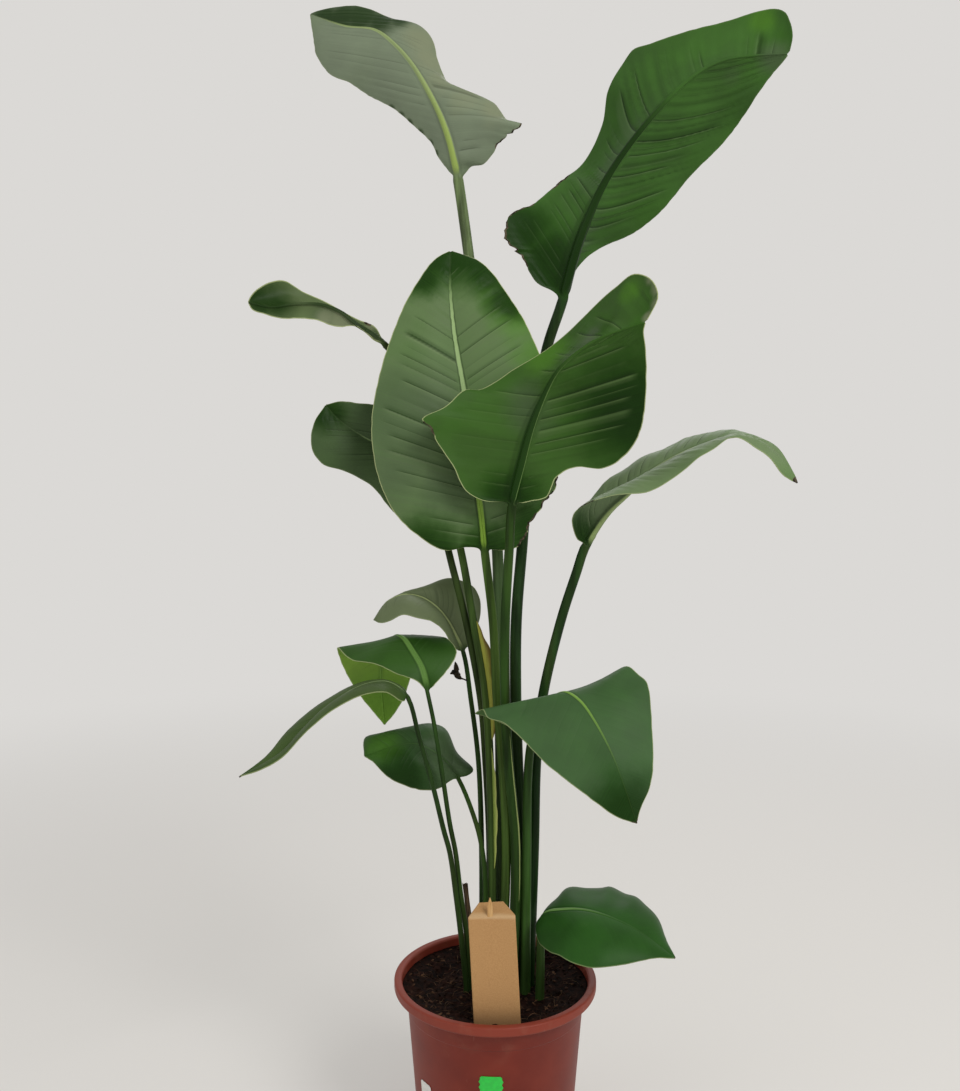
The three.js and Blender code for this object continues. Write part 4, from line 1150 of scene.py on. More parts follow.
# %% A leaf's finish
def leaf_finish(name, look):
    """All layers of one leaf, from the green below to the dry brown on top."""
    f = Finish(name + "_finish", IOR=1.45, Specular_IOR_Level=LEAF_SHINE)
    at = {key: f.field(key) for key in LEAF_FIELDS}
    border = (f.noise(0.02, 3) - 0.6) * 0.4
    spots = {key: (f.field(key) + border).rise(0.0, 0.75) for key in SPOTS}
    patches = f.noise(0.04, 3).rise(0.3, 0.72)
    bloom_and_sheen = bloom_and_sheen_share(f, look, at, spots)
    # The bloom's grey is partly real bloom and partly a painted sheen.
    base = f.mix(bloom_and_sheen, greens(f, look, at, patches), colour(look["wax_and_sheen"][0]))
    # The spots lay painted sheen, light and shade over the green.
    base = lay_creases(f, look, at, lay_spots(f, base, spots), spots["calm"])
    fine = (at["pleat"] * (2 * math.pi * 6)).math("SINE") * 0.5 + 0.5
    base = f.mix(fine * at["rib"].rise(1, 2) * 0.05, base, colour(darker(look["upper"], 1.5)))
    base = lay_margin(f, look, at, lay_midrib(f, look, at, base))
    base = f.mix(at["along"].rise(0, 14), stalk_colour(f, look), base)

    grain = f.noise(0.0035, 3)
    dry = (at["dry"] * 1.5 + (grain - 0.5) * 0.9).rise(0.6, 0.95)
    brown = f.mix(f.noise(0.004, 3).rise(0.35, 0.65), colour(BROWN_DARK), colour(BROWN_PALE))
    rough = 0.36 + patches * 0.06 + bloom_and_sheen * 0.12 + dry * 0.4
    ripple = fine * 0.3 + f.noise(0.0014, 2) * 0.4 + grain * 0.5
    normal = f.relief(ripple, 0.00012, 0.5)
    return f.paint(Base_Color=f.mix(dry, base, brown), Roughness=rough, Normal=normal)


# %% Make the leaves
triangles = 0
grown = {}
for leaf_name, lines in LEAVES.items():
    leaf = Leaf(leaf_name, **lines)
    grown[leaf_name] = leaf
    leaf_rings, leaf_fields = leaf.rings()
    whole_leaf = skin("fine_" + leaf_name, leaf_rings * MM, leaf_fields)
    dress(whole_leaf, "leaf_green", leaf_finish(leaf_name, leaf.look), leaf_name)
    triangles += 2 * len(whole_leaf.data.polygons)
print("leaves:", len(LEAVES), "pieces,", triangles, "triangles")

# %% [markdown]
# ## Dry edges of the sheaths
#
# Low down, a stalk is a sheath that once wrapped a younger one. Its edge dries to a thin strip that
# lifts off, pale or yellow at first and brown later. Each strip here is a thin skin that starts just
# inside the stalk's surface, so it can't hang free. Angles are seen from above: 0 is right, -90 front.

# %% The strips, in millimetres and degrees
STRIPS = {
    "sheath_edge_upper": dict(leaf="leaf_middle_left", low=503, high=644, angle=-40, lean=-8, width=12.0),
    "sheath_edge_lower": dict(leaf="leaf_middle_left", low=350, high=494, angle=-58, lean=-30, width=5.2),
    "sheath_edge_front": dict(leaf="leaf_front_right", low=306, high=524, angle=-52, lean=-30, width=1.8),
}
STRIP_COLOURS = {
    "sheath_edge_upper": ("97993c", "75632c"),
    "sheath_edge_lower": ("7f9440", "a6b060"),
    "sheath_edge_front": ("7d9450", "a3b070"),
}
STRIP_THICKNESS = 0.5


def strip_rings(leaf, low, high, angle, lean, width, count=70, columns=9):
    """Rings up a strip. It starts at nine tenths of the stalk's radius. Its width is a sine of the
    height to the power 0.7, times waves, and it bows by an eighth of its width."""
    height = np.linspace(low, high, count)
    share = np.interp(height, leaf.stalk.points[:, 2], leaf.stalk.lengths) / leaf.stalk.length
    radius = leaf.thick[0] + (leaf.thick[1] - leaf.thick[0]) * share
    turn, out = math.radians(angle), math.radians(lean)
    start = leaf.stalk.at(share) + (0.9 * radius)[:, None] * np.array([math.cos(turn), math.sin(turn), 0])
    along = np.linspace(0, 1, count)
    waves = 1 + 0.12 * np.sin(19 * along) + 0.07 * np.sin(41 * along + 1)
    wide = (0.15 + width * np.sin(np.pi * along) ** 0.7 * waves)[:, None, None]
    reach = np.linspace(0, 1, columns)[None, :, None]
    away = np.array([math.cos(out), math.sin(out), 0])
    normal = np.array([math.sin(out), -math.cos(out), 0])
    sheet = start[:, None] + away * wide * reach + normal * wide / 8 * np.sin(np.pi * reach)
    half = normal * STRIP_THICKNESS / 2
    return two_sided(sheet + half, sheet - half), {"reach": two_sided(reach[..., 0], reach[..., 0])}


def strip_finish(name, fresh, dry):
    """Fresh where the strip leaves the stalk and dry at its free edge, with long strands."""
    f = Finish(name + "_finish", Specular_IOR_Level=0.3)
    strands = f.noise(0.004, 4, (1, 1, 0.06))
    edge = (f.field("reach") + (strands - 0.5) * 0.8).rise(0.35, 0.9)
    base = f.mix(edge, colour(fresh), colour(dry))
    base = f.mix(strands.rise(0.45, 0.8) * 0.3, base, colour(darker(dry, 0.6)))
    return f.paint(Base_Color=base, Roughness=0.55 + strands * 0.2, Normal=f.relief(strands, 0.0003, 0.6))


for name, place in STRIPS.items():
    rings, fields = strip_rings(**place | {"leaf": grown[place["leaf"]]})
    dress(skin(name, rings * MM, fields), "dried_stalk", strip_finish(name, *STRIP_COLOURS[name]))
print("sheath edges:", len(STRIPS))

# %% The dried scraps, in millimetres: places along each, and radii
SCRAPS = [
    ([(-32, 32, 566), (-37, 25, 570), (-43, 22, 573), (-48, 22, 579), (-54, 24, 577)],
     (0.6, 0.8, 0.9, 3.6, 3.8, 0.5)),
    ([(-43, 22, 573), (-46, 21, 581), (-47, 22, 587), (-48, 22, 592)], (0.6, 0.8, 3.4, 2.6, 0.4)),
]
CRUMPLE = 0.5


def bent_tube(points, radii, corners=12, count=60, seed=21):
    """Rings round a smooth line. The radius goes evenly from each of the radii to the next, and every
    corner is pushed in or out by chance, up to a quarter."""
    line = Line(smooth_line(points))
    share = np.linspace(0, 1, count)
    crumple = 1 + CRUMPLE * (np.random.default_rng(seed).random((count, corners)) - 0.5)
    radius = np.interp(share, np.linspace(0, 1, len(radii)), radii)[:, None] * crumple
    angle = np.arange(corners) * 2 * np.pi / corners
    return rings_round(line.at(share), *frame_along([0.3, 0.2, 1.0], line.tangent(share)), angle, radius)


def speckled(name, dark, pale, patch=0.009, shine=0.1, wear=0.15):
    """A dull finish in patches of two colours. It also suits crumbs, chips and fibres."""
    f = Finish(name, Specular_IOR_Level=shine)
    base = f.mix(f.noise(patch, 3).rise(0.3, 0.7), colour(dark), colour(pale))
    return f.paint(Base_Color=base, Roughness=0.8 + f.noise(0.002) * wear)


for number, (points, radii) in enumerate(SCRAPS):
    scrap = skin(f"dried_scrap_{number}", bent_tube(points, radii) * MM)
    dress(scrap, "dried_stalk", speckled("scrap_finish", "14120d", "332a1c", 0.003, 0.2, 0.1))

# %% [markdown]
# ## The pot
#
# A nursery pot is blown or moulded in one piece, so a turned profile gives its whole shape. The profile
# runs from the middle of the base, out and up the wall, round the rolled rim and down inside. Corners
# are rounded by cutting them off and blending, as a mould maker would.

# %% Driving dimensions of the pot, the outer ones from the solid's box
POT_LOW, POT_HIGH = (np.array(corner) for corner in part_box("pot"))
RIM_RADIUS = (POT_HIGH[0] - POT_LOW[0]) / 2
POT_HEIGHT = POT_HIGH[2]
LIP_WIDTH = 9.5 * MM
LIP_HEIGHT = 11 * MM
BODY_TOP_RADIUS = 106 * MM
BASE_RADIUS = 88 * MM
FOOT_RADIUS = 64 * MM
DISH_DEPTH = 3.5 * MM
SHOULDER_Z = 203 * MM
RING_Z = 186 * MM
RING_STEP = 0.8 * MM
INSIDE_Z = 170 * MM
POT_WALL = 2 * MM
AXIS_GAP = 1.5 * MM
CORNER_RADIUS = 1.6 * MM
POT_SIDES = 160


def body_radius(z):
    """The cone of the pot's wall: a straight line from the base's radius to the shoulder's."""
    return BASE_RADIUS + (BODY_TOP_RADIUS - BASE_RADIUS) * z / SHOULDER_Z


def wall_radius(z):
    """The wall below the raised ring: the cone, less a step that grows evenly up to the ring."""
    return body_radius(z) - RING_STEP * z / RING_Z


# %% Helpers for turned shapes
def rounded(points, radius, steps=5):
    """A row of corners with each one cut back by a radius and bridged by a quadratic curve."""
    points = np.array(points, float)
    t = np.linspace(0, 1, steps)[:, None]
    parts = [points[:1]]
    for before, corner, after in zip(points, points[1:], points[2:]):
        cut = min(radius, np.linalg.norm(corner - before) * 0.45, np.linalg.norm(after - corner) * 0.45)
        a = corner + unit(before - corner) * cut
        b = corner + unit(after - corner) * cut
        parts.append((1 - t) ** 2 * a + 2 * t * (1 - t) * corner + t**2 * b)
    return np.vstack([*parts, points[-1:]])


def lathe(profile, sides):
    """Circles at each (radius, height) of a profile, as rings that run counter-clockwise."""
    angle = np.arange(sides) * 2 * np.pi / sides
    radius, height = profile[:, :1], profile[:, 1:]
    flat = [radius * np.cos(angle), radius * np.sin(angle), np.broadcast_to(height, (len(profile), sides))]
    return np.stack(flat, axis=-1)


# %% Turn the pot
lip_in, lip_foot = RIM_RADIUS - LIP_WIDTH, POT_HEIGHT - LIP_HEIGHT
neck = lip_in + POT_WALL
base = [
    (AXIS_GAP, DISH_DEPTH), (FOOT_RADIUS - 4 * MM, DISH_DEPTH), (FOOT_RADIUS, 0), (BASE_RADIUS - 3 * MM, 0),
]
outside = [
    *((wall_radius(z), z) for z in np.linspace(4 * MM, RING_Z - 1 * MM, 12)),
    (body_radius(RING_Z), RING_Z), (BODY_TOP_RADIUS, SHOULDER_Z), (neck, SHOULDER_Z + 3 * MM),
]
lip = [
    (neck, lip_foot), (RIM_RADIUS - 1 * MM, lip_foot), (RIM_RADIUS, lip_foot + 2 * MM),
    (RIM_RADIUS, POT_HEIGHT - 1 * MM), (RIM_RADIUS - 2 * MM, POT_HEIGHT), (lip_in + 2 * MM, POT_HEIGHT),
    (lip_in, POT_HEIGHT - 2 * MM),
]
inside = [
    (lip_in, SHOULDER_Z + 4 * MM), (BODY_TOP_RADIUS - POT_WALL, SHOULDER_Z + 1 * MM),
    (BODY_TOP_RADIUS - 2 * POT_WALL, RING_Z), (BODY_TOP_RADIUS - 3 * POT_WALL, INSIDE_Z),
    (AXIS_GAP, INSIDE_Z),
]
pot_profile = rounded([*base, *outside, *lip, *inside], CORNER_RADIUS)


# %% The pot's finish
def pot_finish():
    """Cloudy terracotta, paler on the lip, with dust high on the wall and a few scuffs."""
    f = Finish("pot_finish", IOR=1.47, Specular_IOR_Level=0.35)
    cloudy = f.noise(0.05, 4)
    base = f.mix(cloudy.rise(0.3, 0.7), colour("6b2012"), colour("792a1a"))
    lip = f.height_above(lip_foot - 0.5 * MM, lip_foot + 2.5 * MM)
    base = f.mix(lip * 0.5, base, colour("93402e"))
    dust = f.noise(0.02, 5).rise(0.52, 0.8) * f.height_above(0.15, 0.22)
    base = f.mix(dust * 0.18, base, colour("a8806c"))
    scuff = f.noise(0.006, 4, (1, 1, 0.25)).rise(0.66, 0.75)
    base = f.mix(scuff * 0.12, base, colour("c08a74"))
    rough = 0.42 + cloudy * 0.12 + dust * 0.25
    return f.paint(Base_Color=base, Roughness=rough, Normal=f.relief(f.noise(0.0012, 3), 0.0001, 0.35))


pot = skin("fine_pot", lathe(pot_profile, POT_SIDES))
dress(pot, "terracotta_plastic", pot_finish(), "pot")
print("pot:", round(2 * RIM_RADIUS, 3), "m across the rim,", round(float(POT_HEIGHT), 3), "m high")

# %% [markdown]
# ## The potting soil
#
# Real potting mix is lumpy, with chips of bark, crumbs and fibres. Displacing one dense surface gives
# the lumps, and a few hundred loose crumbs and fibres lie on top of it. All of it comes from a seeded
# random generator, so every run gives the same soil.

# %% Height of the soil
SOIL_EDGE_Z = 210 * MM
SOIL_DIP = 7 * MM
SOIL_RADIUS = lip_in - 0.2 * MM
SOIL_LUMPS = ((4.0, 17 * MM), (2.4, 7 * MM), (1.2, 3 * MM))
TAG_DENT = 3.5
TAG_Y = -86 * MM
LATTICE_SIZE = 64
LATTICE = np.random.default_rng(7).random((LATTICE_SIZE, LATTICE_SIZE))


def value_noise(x, y, size):
    """Soft noise: random heights on a grid of squares of a size, blended with smooth steps."""
    u, v = x / size + 20, y / size + 20
    i, j = np.floor(u).astype(int), np.floor(v).astype(int)
    a, b = smooth(u - i), smooth(v - j)

    def side(column):
        """The heights along one side of the squares."""
        near = LATTICE[column % LATTICE_SIZE, j % LATTICE_SIZE]
        far = LATTICE[column % LATTICE_SIZE, (j + 1) % LATTICE_SIZE]
        return near * (1 - b) + far * b

    return side(i) * (1 - a) + side(i + 1) * a


def soil_height(x, y):
    """The edge's height, less the dip of the middle, with lumps of three sizes that shrink at the rim.

    The soil is pressed down a little at the front, where the tag was pushed in. Lumps and dent are
    in millimetres."""
    inward = lip_in - np.hypot(x, y)
    dip = SOIL_DIP * smooth(inward / 0.05)
    rough = 0.3 + 0.7 * smooth(inward / 0.03)
    lumps = sum(height * (value_noise(x, y, size) - 0.5) for height, size in SOIL_LUMPS)
    pressed = TAG_DENT * np.exp(-((x / 0.03) ** 2) - ((y - TAG_Y + 8 * MM) / 0.014) ** 2)
    return SOIL_EDGE_Z - dip + (rough * lumps - 1.5 * (1 - rough) - pressed) * MM


# %% The soil's surface
def soil_finish():
    """Dark lumps in two browns, with pale flecks and a few redder patches."""
    f = Finish("soil_finish", Specular_IOR_Level=0.08)
    lumps = f.noise(0.006, 6)
    base = f.mix(lumps.rise(0.35, 0.75), colour("0e0705"), colour("2a1610"))
    flecks = f.noise(0.0022, 3).rise(0.62, 0.7)
    base = f.mix(flecks * 0.5, base, colour("55402f"))
    base = f.mix(f.noise(0.03, 2).rise(0.55, 0.8) * 0.35, base, colour("482a1e"))
    return f.paint(Base_Color=base, Roughness=0.86 + lumps * 0.1, Normal=f.relief(lumps, 0.0015, 0.8))


SOIL_SIDES, SOIL_RINGS = 300, 110
SOIL_WALL = [(0.002, 0.172), (0.09, 0.172), (0.0995, 0.176), (0.1005, 0.2)]
top = lathe(np.stack([SOIL_RADIUS * np.linspace(1, 0.004, SOIL_RINGS), np.zeros(SOIL_RINGS)], -1), SOIL_SIDES)
top[..., 2] = soil_height(top[..., 0], top[..., 1])
wall = lathe(np.array(SOIL_WALL), SOIL_SIDES)
soil = skin("fine_soil", np.concatenate([wall, top]))
dress(soil, "potting_soil", soil_finish(), "soil")


# %% Crumbs and chips
WITHIN_RIM = 0.97
CLEAR_FRONT = -74 * MM
CRUMB_RINGS, CRUMB_SIDES = 6, 8


def crumb_ball(end=0.12):
    """A ball of a few rings of radius 1, which leave a small gap at both poles."""
    lat = np.linspace(end, np.pi - end, CRUMB_RINGS)[:, None]
    lon = np.arange(CRUMB_SIDES) * 2 * np.pi / CRUMB_SIDES
    return np.stack([np.sin(lat) * np.cos(lon), np.sin(lat) * np.sin(lon), -np.cos(lat) + 0 * lon], -1)


def crumbs(count, size, flat, seed):
    """Rings of small lumps that lie on the soil: balls that are each squeezed, turned and tilted.

    None lies at the front, where the card stands."""
    rng = np.random.default_rng(seed)
    lumps = []
    for _ in range(count):
        radius = SOIL_RADIUS * WITHIN_RIM * np.sqrt(rng.random())
        turn, lean, angle = rng.random(3) * 2 * np.pi
        stretch = size * (0.6 + 0.9 * rng.random(3)) * np.array([1, 0.7, flat])
        uneven = 1 + 0.3 * (rng.random((CRUMB_RINGS, CRUMB_SIDES)) - 0.5)
        lump = crumb_ball() * stretch * uneven[..., None]
        c, s = np.cos(turn), np.sin(turn)
        lump = lump @ np.array([[c, s, 0], [-s, c, 0], [0, 0, 1]])
        lump[..., 2] += lump[..., 0] * 0.5 * np.sin(lean)
        x, y = radius * np.cos(angle), radius * np.sin(angle)
        if y >= CLEAR_FRONT:
            lumps.append(lump + np.array([x, y, soil_height(x, y) + 0.3 * stretch[2]]))
    return lumps


def join_skins(name, parts):
    """One piece from many small closed skins."""
    pieces = [skin(f"{name}_{k}", rings) for k, rings in enumerate(parts)]
    with bpy.context.temp_override(active_object=pieces[0], selected_editable_objects=pieces):
        bpy.ops.object.join()
    pieces[0].name = name
    return pieces[0]


clods = join_skins("soil_clods", crumbs(340, 1.7 * MM, 0.7, 11))
dress(clods, "potting_soil", speckled("clod_finish", "0e0806", "2c1a13"))
chips = join_skins("bark_chips", crumbs(150, 2.6 * MM, 0.28, 12))
dress(chips, "potting_soil", speckled("chip_finish", "2c1b13", "5c422f"))
print("crumbs:", len(clods.data.polygons) + len(chips.data.polygons), "faces")

# %% Fibres of coir
FIBRE_RADIUS = 0.22 * MM
FIBRE_POINTS = 9


def fibre(rng):
    """A thin bent tube on the soil: a line that turns slowly and follows the surface."""
    t = np.linspace(0, 1, FIBRE_POINTS)
    radius = SOIL_RADIUS * 0.9 * np.sqrt(rng.random())
    angle, turn = (rng.random() * 6.28 for _ in range(2))
    bend = rng.normal() * 1.3
    step = (7 + 16 * rng.random()) * MM / FIBRE_POINTS
    x = radius * np.cos(angle) + np.cumsum(np.cos(turn + bend * t)) * step
    y = radius * np.sin(angle) + np.cumsum(np.sin(turn + bend * t)) * step
    inside = np.minimum(1, SOIL_RADIUS * WITHIN_RIM / np.maximum(np.hypot(x, y), TINY))
    x, y = x * inside, y * inside
    z = soil_height(x, y) + (0.5 + 2.2 * rng.random() * np.sin(np.pi * t)) * MM
    middle = np.stack([x, y, z], -1)
    ahead = unit(np.gradient(middle, axis=0))
    thick = FIBRE_RADIUS * np.sin(np.pi * (0.08 + 0.84 * t))[:, None]
    corners = np.arange(-1, 3) * np.pi / 2
    return rings_round(middle, *frame_along([0, 0, 1.0], ahead), corners, thick)


fibre_chance = np.random.default_rng(5)
fibres = join_skins("coir_fibres", [fibre(fibre_chance) for _ in range(230)])
dress(fibres, "potting_soil", speckled("fibre_finish", "3f2b1e", "7a5f47"))

# %% [markdown]
# ## The cut stub
#
# One stalk was cut long ago and has dried. It is a thin brown tube with lengthwise ridges that open
# into a frayed end.

# %% The stub
STUB_LINE = Line(smooth_line([(-26, 10), (-28, 10, 245), (-32, 8, 290), (-36, 6, 328)]))
STUB_RADIUS = 3.7
FRAY_DEPTH = 3 * MM
HOLLOW_DEPTH = 5 * MM


def stub_rings(corners=48, count=60):
    """Rings along the dried stalk. The ridges are a sum of two sines round the ring. The last ring is
    frayed: each corner stops at a height of its own, round a small hollow."""
    share = np.linspace(0, 1, count)
    places, ahead = STUB_LINE.at(share) * MM, STUB_LINE.tangent(share)
    angle = np.arange(corners) * 2 * np.pi / corners
    ridges = 1 + 0.06 * np.sin(7 * angle + 1) + 0.05 * np.sin(11 * angle + 4 * share[:, None])
    pinch = 1 - 0.12 * np.sin(np.pi * share * 3)[:, None] * smooth(share * 3)[:, None]
    radius = (STUB_RADIUS - 0.4 * share)[:, None] * MM * ridges * pinch
    rings = rings_round(places, *frame_along([0.0, 1, 0], ahead), angle, radius)
    hollow = places[-1] - ahead[-1] * HOLLOW_DEPTH + (rings[-1] - places[-1]) * 0.7
    rings[-1] -= ahead[-1] * np.random.default_rng(3).random(corners)[:, None] * FRAY_DEPTH
    root = rings[:1] - np.array([0, 0, 20 * MM])
    return np.concatenate([root, rings, hollow[None]])


def stub_finish():
    """Long brown strands, darkest at the frayed end."""
    f = Finish("stub_finish", Specular_IOR_Level=0.3)
    strands = f.noise(0.0035, 4, (1, 1, 0.08))
    base = f.mix(strands.rise(0.3, 0.7), colour("33261a"), colour("6e5a40"))
    base = f.mix(f.height_above(0.296, 0.33) * 0.75, base, colour("23180f"))
    return f.paint(Base_Color=base, Roughness=0.75 + strands * 0.15, Normal=f.relief(strands, 0.0006, 0.8))


dress(skin("fine_cut_stub", stub_rings()), "dried_stalk", stub_finish(), "cut_stub")

# %% [markdown]
# ## The tag and its peg
#
# The tag is a plain kraft card, with its top edge folded back over a slim wooden peg. A card is a flat
# skin with a soft bend at the fold, so its rows run up the card and over the bend in small steps. The
# real tag is printed; this one is left bare.

# %% The card
TAG_LOW, TAG_HIGH = (np.array(corner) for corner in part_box("tag"))
TAG_WIDTH = 52 * MM
TAG_TOP_Z = 326 * MM
TAG_X = 1 * MM
TAG_LEAN = 0.052
TAG_THICKNESS = 1.0 * MM
TAG_BOW = 1.2 * MM
FLAP_WIDTH = 27 * MM
FLAP_RISE = 9 * MM
FLAP_BACK = 17 * MM
BEND_LENGTH = 5 * MM
EDGE_ALLOWANCE = 0.4 * MM


def tag_rings(columns=36):
    """Rows of the card, from the soil up and over the fold. Along its middle line the card runs
    straight up, turns through the flap's angle within the bend's length and goes on straight."""
    fold = math.atan2(FLAP_BACK, FLAP_RISE)
    rise, flap = TAG_TOP_Z - TAG_LOW[2], math.hypot(FLAP_BACK, FLAP_RISE)
    stretches = [(0, rise - 4 * MM, 30), (rise - 3 * MM, rise + 3 * MM, 14), (rise + 4 * MM, rise + flap, 16)]
    t = np.concatenate([np.linspace(*stretch) for stretch in stretches])
    angle = fold * smooth((t - rise) / BEND_LENGTH + 0.5)
    step = np.diff(t, prepend=t[0])
    z = TAG_LOW[2] + np.cumsum(step * np.cos(angle))
    y = TAG_Y + np.cumsum(step * np.sin(angle))
    z += (TAG_HIGH[2] - EDGE_ALLOWANCE) - z.max()
    share = np.clip((t - rise) / flap, 0, 1)
    width = TAG_WIDTH + (FLAP_WIDTH - TAG_WIDTH) * share
    across = width[:, None] * np.linspace(-0.5, 0.5, columns)
    x = (TAG_X - TAG_LEAN * (z - SOIL_EDGE_Z))[:, None] + across
    bent = smooth((t - 0.04) / 0.06) * (1 - share)
    bow = TAG_BOW * (np.linspace(-1, 1, columns) ** 2 - 1) * bent[:, None]
    out = np.stack([0 * angle, -np.cos(angle), np.sin(angle)], -1)[:, None]
    y, z = np.broadcast_to(y[:, None], x.shape), z[:, None] + across * TAG_LEAN
    sheet = np.stack([x, y, z], -1) + out * bow[..., None]
    return two_sided(sheet + out * TAG_THICKNESS / 2, sheet - out * TAG_THICKNESS / 2)


def card_finish():
    """Speckled kraft card, damp at its foot, with a pale crease at the fold."""
    f = Finish("card_finish", Specular_IOR_Level=0.2)
    pulp = f.noise(0.0011, 4)
    base = f.mix(pulp.rise(0.3, 0.7), colour("b08658"), colour("bb9262"))
    strands = f.noise(0.0022, 3, (1, 1, 0.25)).rise(0.66, 0.72)
    base = f.mix(strands * 0.2, base, colour("8f6d48"))
    damp = 1 - f.height_above(0.204, 0.228)
    base = f.mix(damp * 0.6, base, colour("6e5136"))
    crease = f.height_above(0.3225, 0.326) * (1 - f.height_above(0.327, 0.33))
    base = f.mix(crease * 0.35, base, colour("dcc39c"))
    return f.paint(Base_Color=base, Roughness=0.82 + pulp * 0.1, Normal=f.relief(pulp, 0.0002, 0.5))


dress(skin("fine_tag", tag_rings()), "kraft_card", card_finish(), "tag")

# %% The peg
PEG_LOW, PEG_HIGH = (np.array(corner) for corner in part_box("tag_peg"))
PEG_TAPER = 13 * MM
PEG_POINT = 0.45
PEG_BLUNT = 3 * MM
PEG_ROUNDNESS = 0.4


def peg_rings(corners=24, rows=40):
    """Rings up the flat stick: a rounded oblong, narrowed over its last part to a blunt point.

    An oblong is a circle whose sines and cosines are raised to a small power."""
    z = np.linspace(PEG_LOW[2], PEG_HIGH[2], rows)
    centre, half = (PEG_HIGH + PEG_LOW)[:2] / 2, (PEG_HIGH - PEG_LOW)[:2] / 2
    angle = (np.arange(corners) + 0.5) * 2 * np.pi / corners
    circle = np.stack([np.cos(angle), np.sin(angle)], -1)
    oblong = np.sign(circle) * np.abs(circle) ** PEG_ROUNDNESS
    taper, blunt = (smooth((z - PEG_HIGH[2]) / length + 1) for length in (PEG_TAPER, PEG_BLUNT))
    shrink = 1 - (1 - PEG_POINT) * taper - 0.3 * blunt
    flat = centre + oblong * half * shrink[:, None, None]
    return np.concatenate([flat, np.broadcast_to(z[:, None, None], (rows, corners, 1))], -1)


def wood_finish():
    """Pale wood with a long grain."""
    f = Finish("peg_finish", Specular_IOR_Level=0.35)
    grain = f.noise(0.0022, 4, (1, 1, 0.05))
    base = f.mix(grain.rise(0.3, 0.7), colour("b58850"), colour("d6b07a"))
    return f.paint(Base_Color=base, Roughness=0.6 + grain * 0.15, Normal=f.relief(grain, 0.0003, 0.6))


dress(skin("fine_tag_peg", peg_rings()), "peg_wood", wood_finish(), "tag_peg")

# %% [markdown]
# ## The labels on the pot
#
# Two small plastic labels are stuck to the pot's front. They are bent round the wall with it. What is
# printed on the real ones is left off, so they are plain colours.


# %% The labels
LABEL_THICKNESS = 0.5 * MM
LABEL_INSET = 0.2 * MM


def label_rings(node, notch, rows=24, columns=40):
    """A patch bent round the pot. Its half width pulls in by a notch in waves along its sides."""
    low, high = (np.array(corner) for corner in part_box(node))
    z = np.linspace(low[2] + LABEL_INSET, high[2] - LABEL_INSET, rows)
    reach = wall_radius(z) + 0.3 * MM
    middle = math.asin((low[0] + high[0]) / 2 / reach.mean())
    spread = (high[0] - low[0]) / 2 / reach.mean() / math.cos(middle)
    waves = 1 - notch * np.abs(np.sin(np.linspace(0, 3 * np.pi, rows)))
    ends = np.sqrt(np.clip(1 - np.abs(np.linspace(-1, 1, rows)) ** 14, 0.55, 1))
    angle = middle + spread * 0.98 * (waves * ends)[:, None] * np.linspace(-1, 1, columns)
    height = np.broadcast_to(z[:, None], angle.shape)
    radii = ((reach + out)[:, None] for out in (LABEL_THICKNESS, 0))
    return two_sided(*(np.stack([r * np.sin(angle), -r * np.cos(angle), height], -1) for r in radii))


def label_finish(name, code):
    """One colour, a little worn, under a thin gloss."""
    f = Finish(name, Coat_Weight=0.2, Coat_Roughness=0.3)
    worn = f.noise(0.004, 4)
    base = f.mix(worn.rise(0.3, 0.75), colour(darker(code, 0.92)), colour(code))
    return f.paint(Base_Color=base, Roughness=0.38 + worn * 0.15)


for tint, notch, code in (("green", 0.12, "1fd043"), ("white", 0.0, "e9e8e2")):
    node = "label_" + tint
    label = skin("fine_" + node, label_rings(node, notch))
    dress(label, tint + "_label", label_finish(tint + "_label_finish", code), node)

# %% [markdown]
# ## Floor and light
#
# The plant stands on a pale floor under soft light from the upper right, as in a bright room. Far from
# the plant the floor glows as brightly as the world behind it, so no horizon shows.


# %% The floor
BACKDROP = colour("dbd9d6")
FLOOR_RADIUS = 9.0
FLOOR_THICKNESS = 0.02


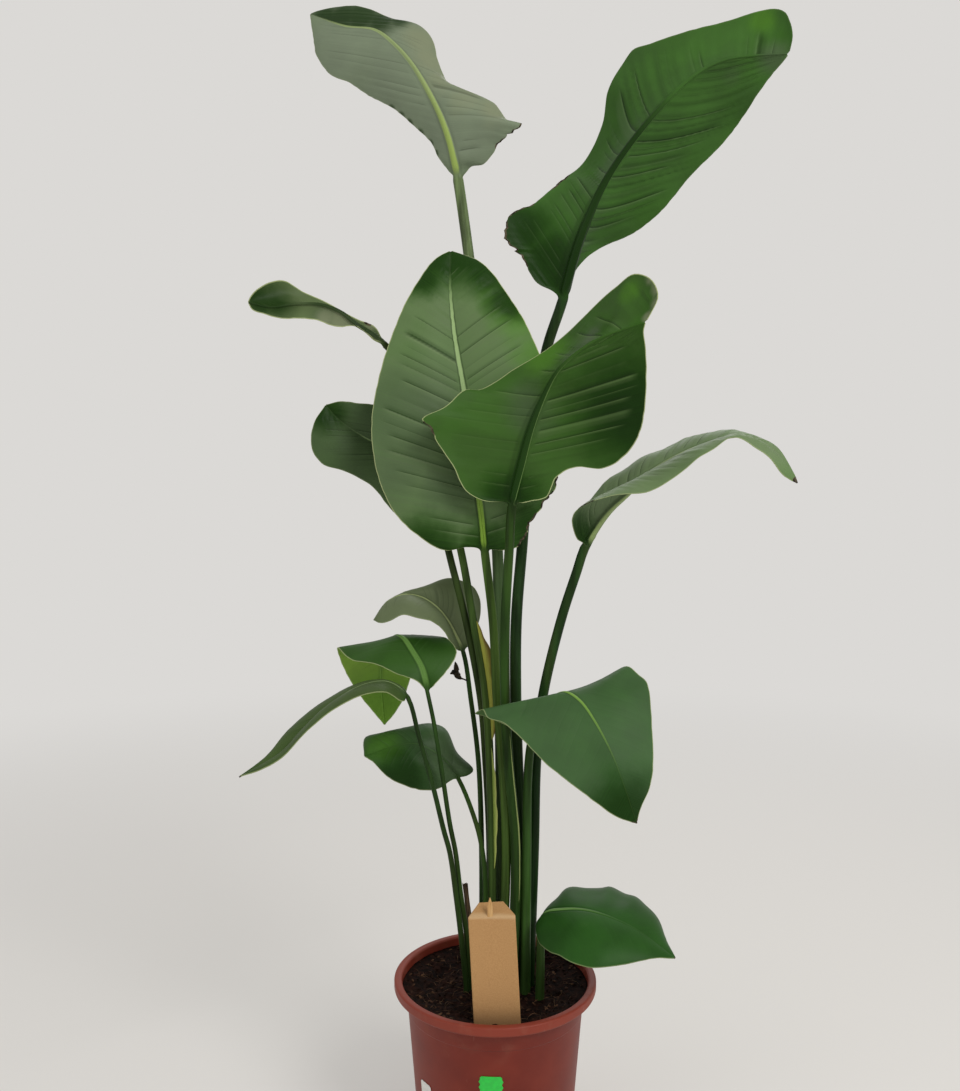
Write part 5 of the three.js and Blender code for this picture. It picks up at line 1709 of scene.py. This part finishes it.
def floor_finish():
    """Matt and pale, and from 0.6 m to 3.2 m away more and more a glow like the backdrop's."""
    f = Finish("floor_finish", Emission_Strength=1.0, Specular_IOR_Level=0.0)
    point = f.node("ShaderNodeTexCoord", output="Object")
    far = f.node("ShaderNodeVectorMath", {"operation": "LENGTH"}, {0: point}, "Value").rise(0.6, 3.2)
    base = f.mix(far, colour("d2d0cd"), (0, 0, 0, 1))
    glow = f.mix(far, colour("6a6967"), BACKDROP)
    return f.paint(Base_Color=base, Emission_Color=glow, Roughness=0.8 + f.noise(0.2) * 0.1)


floor_profile = [(0.01, -FLOOR_THICKNESS), (FLOOR_RADIUS, -FLOOR_THICKNESS), (FLOOR_RADIUS, 0), (0.01, 0)]
floor = skin("floor", lathe(np.array(floor_profile), 96))
floor.data.materials.append(floor_finish())


# %% The lights
PLANT_MIDDLE = (0, 0, 0.75)


def soft_box(name, place, size, watts, tint):
    """A square lamp that faces the middle of the plant."""
    data = bpy.data.lights.new(name, "AREA")
    data.shape, data.size, data.energy, data.color = "SQUARE", size, watts, tint
    lamp = bpy.data.objects.new(name, data)
    lamp.location = place
    aim = np.array(PLANT_MIDDLE) - np.array(place)
    yaw, pitch = math.atan2(aim[1], aim[0]) - math.pi / 2, math.atan2(aim[2], math.hypot(*aim[:2]))
    lamp.rotation_euler = (math.pi / 2 + pitch, 0, yaw)
    bpy.context.scene.collection.objects.link(lamp)


soft_box("window", (1.6, -2.0, 2.5), 1.3, 48, (1.0, 0.985, 0.955))
soft_box("fill", (-2.2, -1.4, 1.4), 1.8, 8, (0.97, 0.98, 1.0))
soft_box("back", (0.6, 2.2, 2.4), 1.6, 14, (1.0, 1.0, 1.0))
bpy.context.scene.view_settings.view_transform = "Standard"

# %% [markdown]
# The world is seen at full strength behind the plant and is dimmer as a light, so that the lamps and
# not the backdrop shape the leaves.


# %% The world
def pale_world(seen, lit):
    """A world that is one grey where it is seen, and another where it lights the plant."""
    world = bpy.data.worlds.new("world")
    world.use_nodes = True
    tree = world.node_tree
    ground = tree.nodes["Background"]
    ground.inputs["Color"].default_value = BACKDROP
    path = tree.nodes.new("ShaderNodeLightPath")
    share = tree.nodes.new("ShaderNodeMapRange")
    share.inputs["To Min"].default_value = lit
    share.inputs["To Max"].default_value = seen
    tree.links.new(path.outputs["Is Camera Ray"], share.inputs["Value"])
    tree.links.new(share.outputs["Result"], ground.inputs["Strength"])
    bpy.context.scene.world = world


pale_world(1.0, 0.75)
